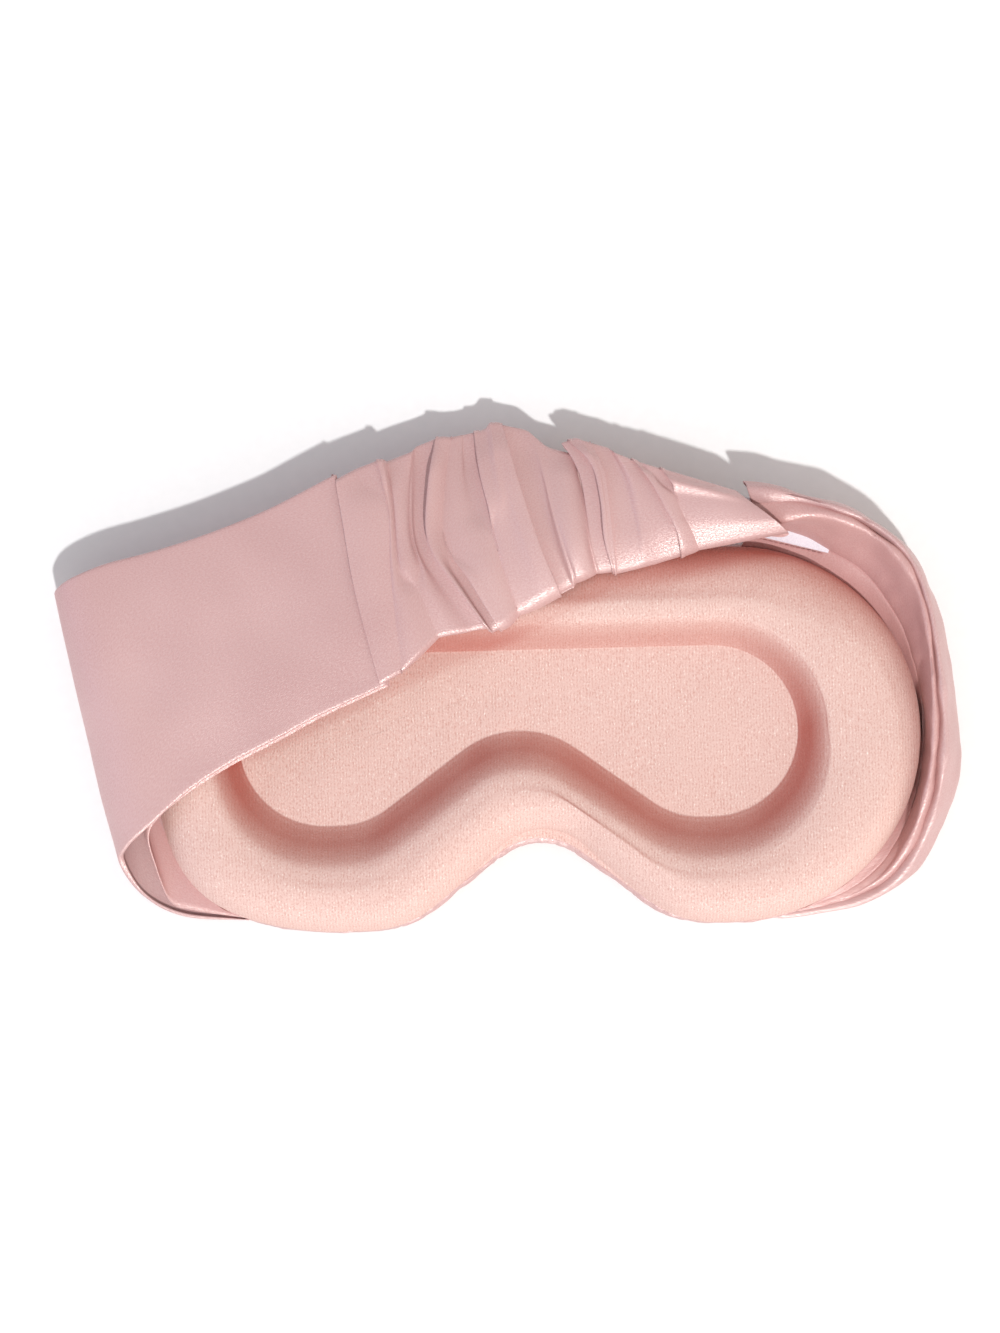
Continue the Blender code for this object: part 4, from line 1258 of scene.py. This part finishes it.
def mend(piece: bpy.types.Object, columns: int = 0, doubles: bool = False) -> None:
    """Closes a mesh where it still needs it and points its faces outwards.

    Args:
        piece: the object.
        columns: points in the first row of a closed grid, when that row takes a face.
        doubles: whether points in the same place are joined, as where the last row repeats
            the first.
    """
    work = bmesh.new()
    work.from_mesh(piece.data)
    if columns:
        work.verts.ensure_lookup_table()
        work.faces.new([work.verts[k] for k in reversed(range(columns))])
    if doubles:
        bmesh.ops.remove_doubles(work, verts=work.verts, dist=SAME_PLACE)
    bmesh.ops.recalc_face_normals(work, faces=work.faces)
    work.to_mesh(piece.data)
    work.free()


def dress(piece: bpy.types.Object, finish: Finish) -> None:
    """Gives a piece one finish."""
    piece.data.materials.clear()
    piece.data.materials.append(finish.make())


def finish_piece(piece: bpy.types.Object, finish: Finish, body: str | None, slot: str,
                 *nodes: str) -> None:
    """Dresses a piece, hangs it on the body that it rides on and hides the nodes that it stands for.
    """
    dress(piece, finish)
    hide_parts(*nodes)
    if body:
        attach(piece, body)


# ---------------------------------------------------------------- studio


@dataclass(frozen=True)
class Studio:
    """White table, one firm key light from below and right of the view, and soft fill."""

    camera_at: tuple[float, float, float] = (-9.5, 19.8, 859.0)
    roll: float = -1.47
    key_elevation: float = 62.0
    key_turn: float = 18.0

    def build(self) -> None:
        """Camera, table and lights."""
        scene = bpy.context.scene
        scene.view_settings.view_transform = "Standard"
        data = bpy.data.cameras.new("camera")
        data.lens = 85
        data.sensor_width = 36
        data.clip_start = 0.01
        camera = bpy.data.objects.new("camera", data)
        camera.location = [c * MM for c in self.camera_at]
        camera.rotation_euler = (0, 0, math.radians(self.roll))
        scene.collection.objects.link(camera)
        scene.camera = camera
        self.table()
        self.lights()

    def table(self) -> None:
        """A wide white table top just under the mask."""
        grid = np.array([[(x, y, -0.4) for x in (-4000.0, 4000.0)] for y in (-4000.0, 4000.0)])
        table = grid_mesh("table", grid)
        dress(table, PlainCloth("matt white table", "#f7f7f6", "#f5f5f4", 3.0, 0.01, 0.9))

    def lights(self) -> None:
        """Key sun, two fills, an even sky and a low front light seen only in the gloss."""
        world = bpy.data.worlds.new("studio")
        world.use_nodes = True
        world.node_tree.nodes["Background"].inputs["Color"].default_value = linear("#fffdfc")
        world.node_tree.nodes["Background"].inputs["Strength"].default_value = 0.53
        bpy.context.scene.world = world
        key = bpy.data.lights.new("key", "SUN")
        key.energy = 2.05
        key.angle = math.radians(2.5)
        lamp = bpy.data.objects.new("key", key)
        lamp.rotation_euler = (math.radians(90 - self.key_elevation), 0, math.radians(self.key_turn))
        lamp.visible_glossy = False
        bpy.context.scene.collection.objects.link(lamp)
        for name, place, size, power, code in (
                ("edge sheen", (0.1, -1.0, 0.5), 0.9, 30.0, "#fff4ee"),
                ("cool fill", (-1.1, 0.1, 0.5), 0.9, 2.2, "#c4c8ff"),
                ("warm fill", (1.1, -0.2, 0.5), 0.9, 2.4, "#ffe9dd")):
            light = bpy.data.lights.new(name, "AREA")
            light.energy = power
            light.size = size
            light.color = linear(code)[:3]
            lamp = bpy.data.objects.new(name, light)
            lamp.location = place
            lamp.visible_diffuse = name != "edge sheen"
            direction = -np.array(place)
            lamp.rotation_euler = (math.atan2(math.hypot(*direction[:2]), -direction[2]), 0,
                                   math.atan2(direction[1], direction[0]) - math.pi / 2)
            bpy.context.scene.collection.objects.link(lamp)


def main() -> None:
    """Builds the studio and every part of the mask, and reports each piece."""
    logging.basicConfig(level=logging.INFO, format="%(name)s: %(message)s")
    Studio().build()
    for assembly in (MaskBody(), LeftWing(), RightWing(), GatheredBand(), CareLabel()):
        for piece in assembly.build():
            LOG.info("%s: %s with %d faces", type(assembly).__name__, piece.name,
                     len(piece.data.polygons))


if __name__ == "__main__":
    main()
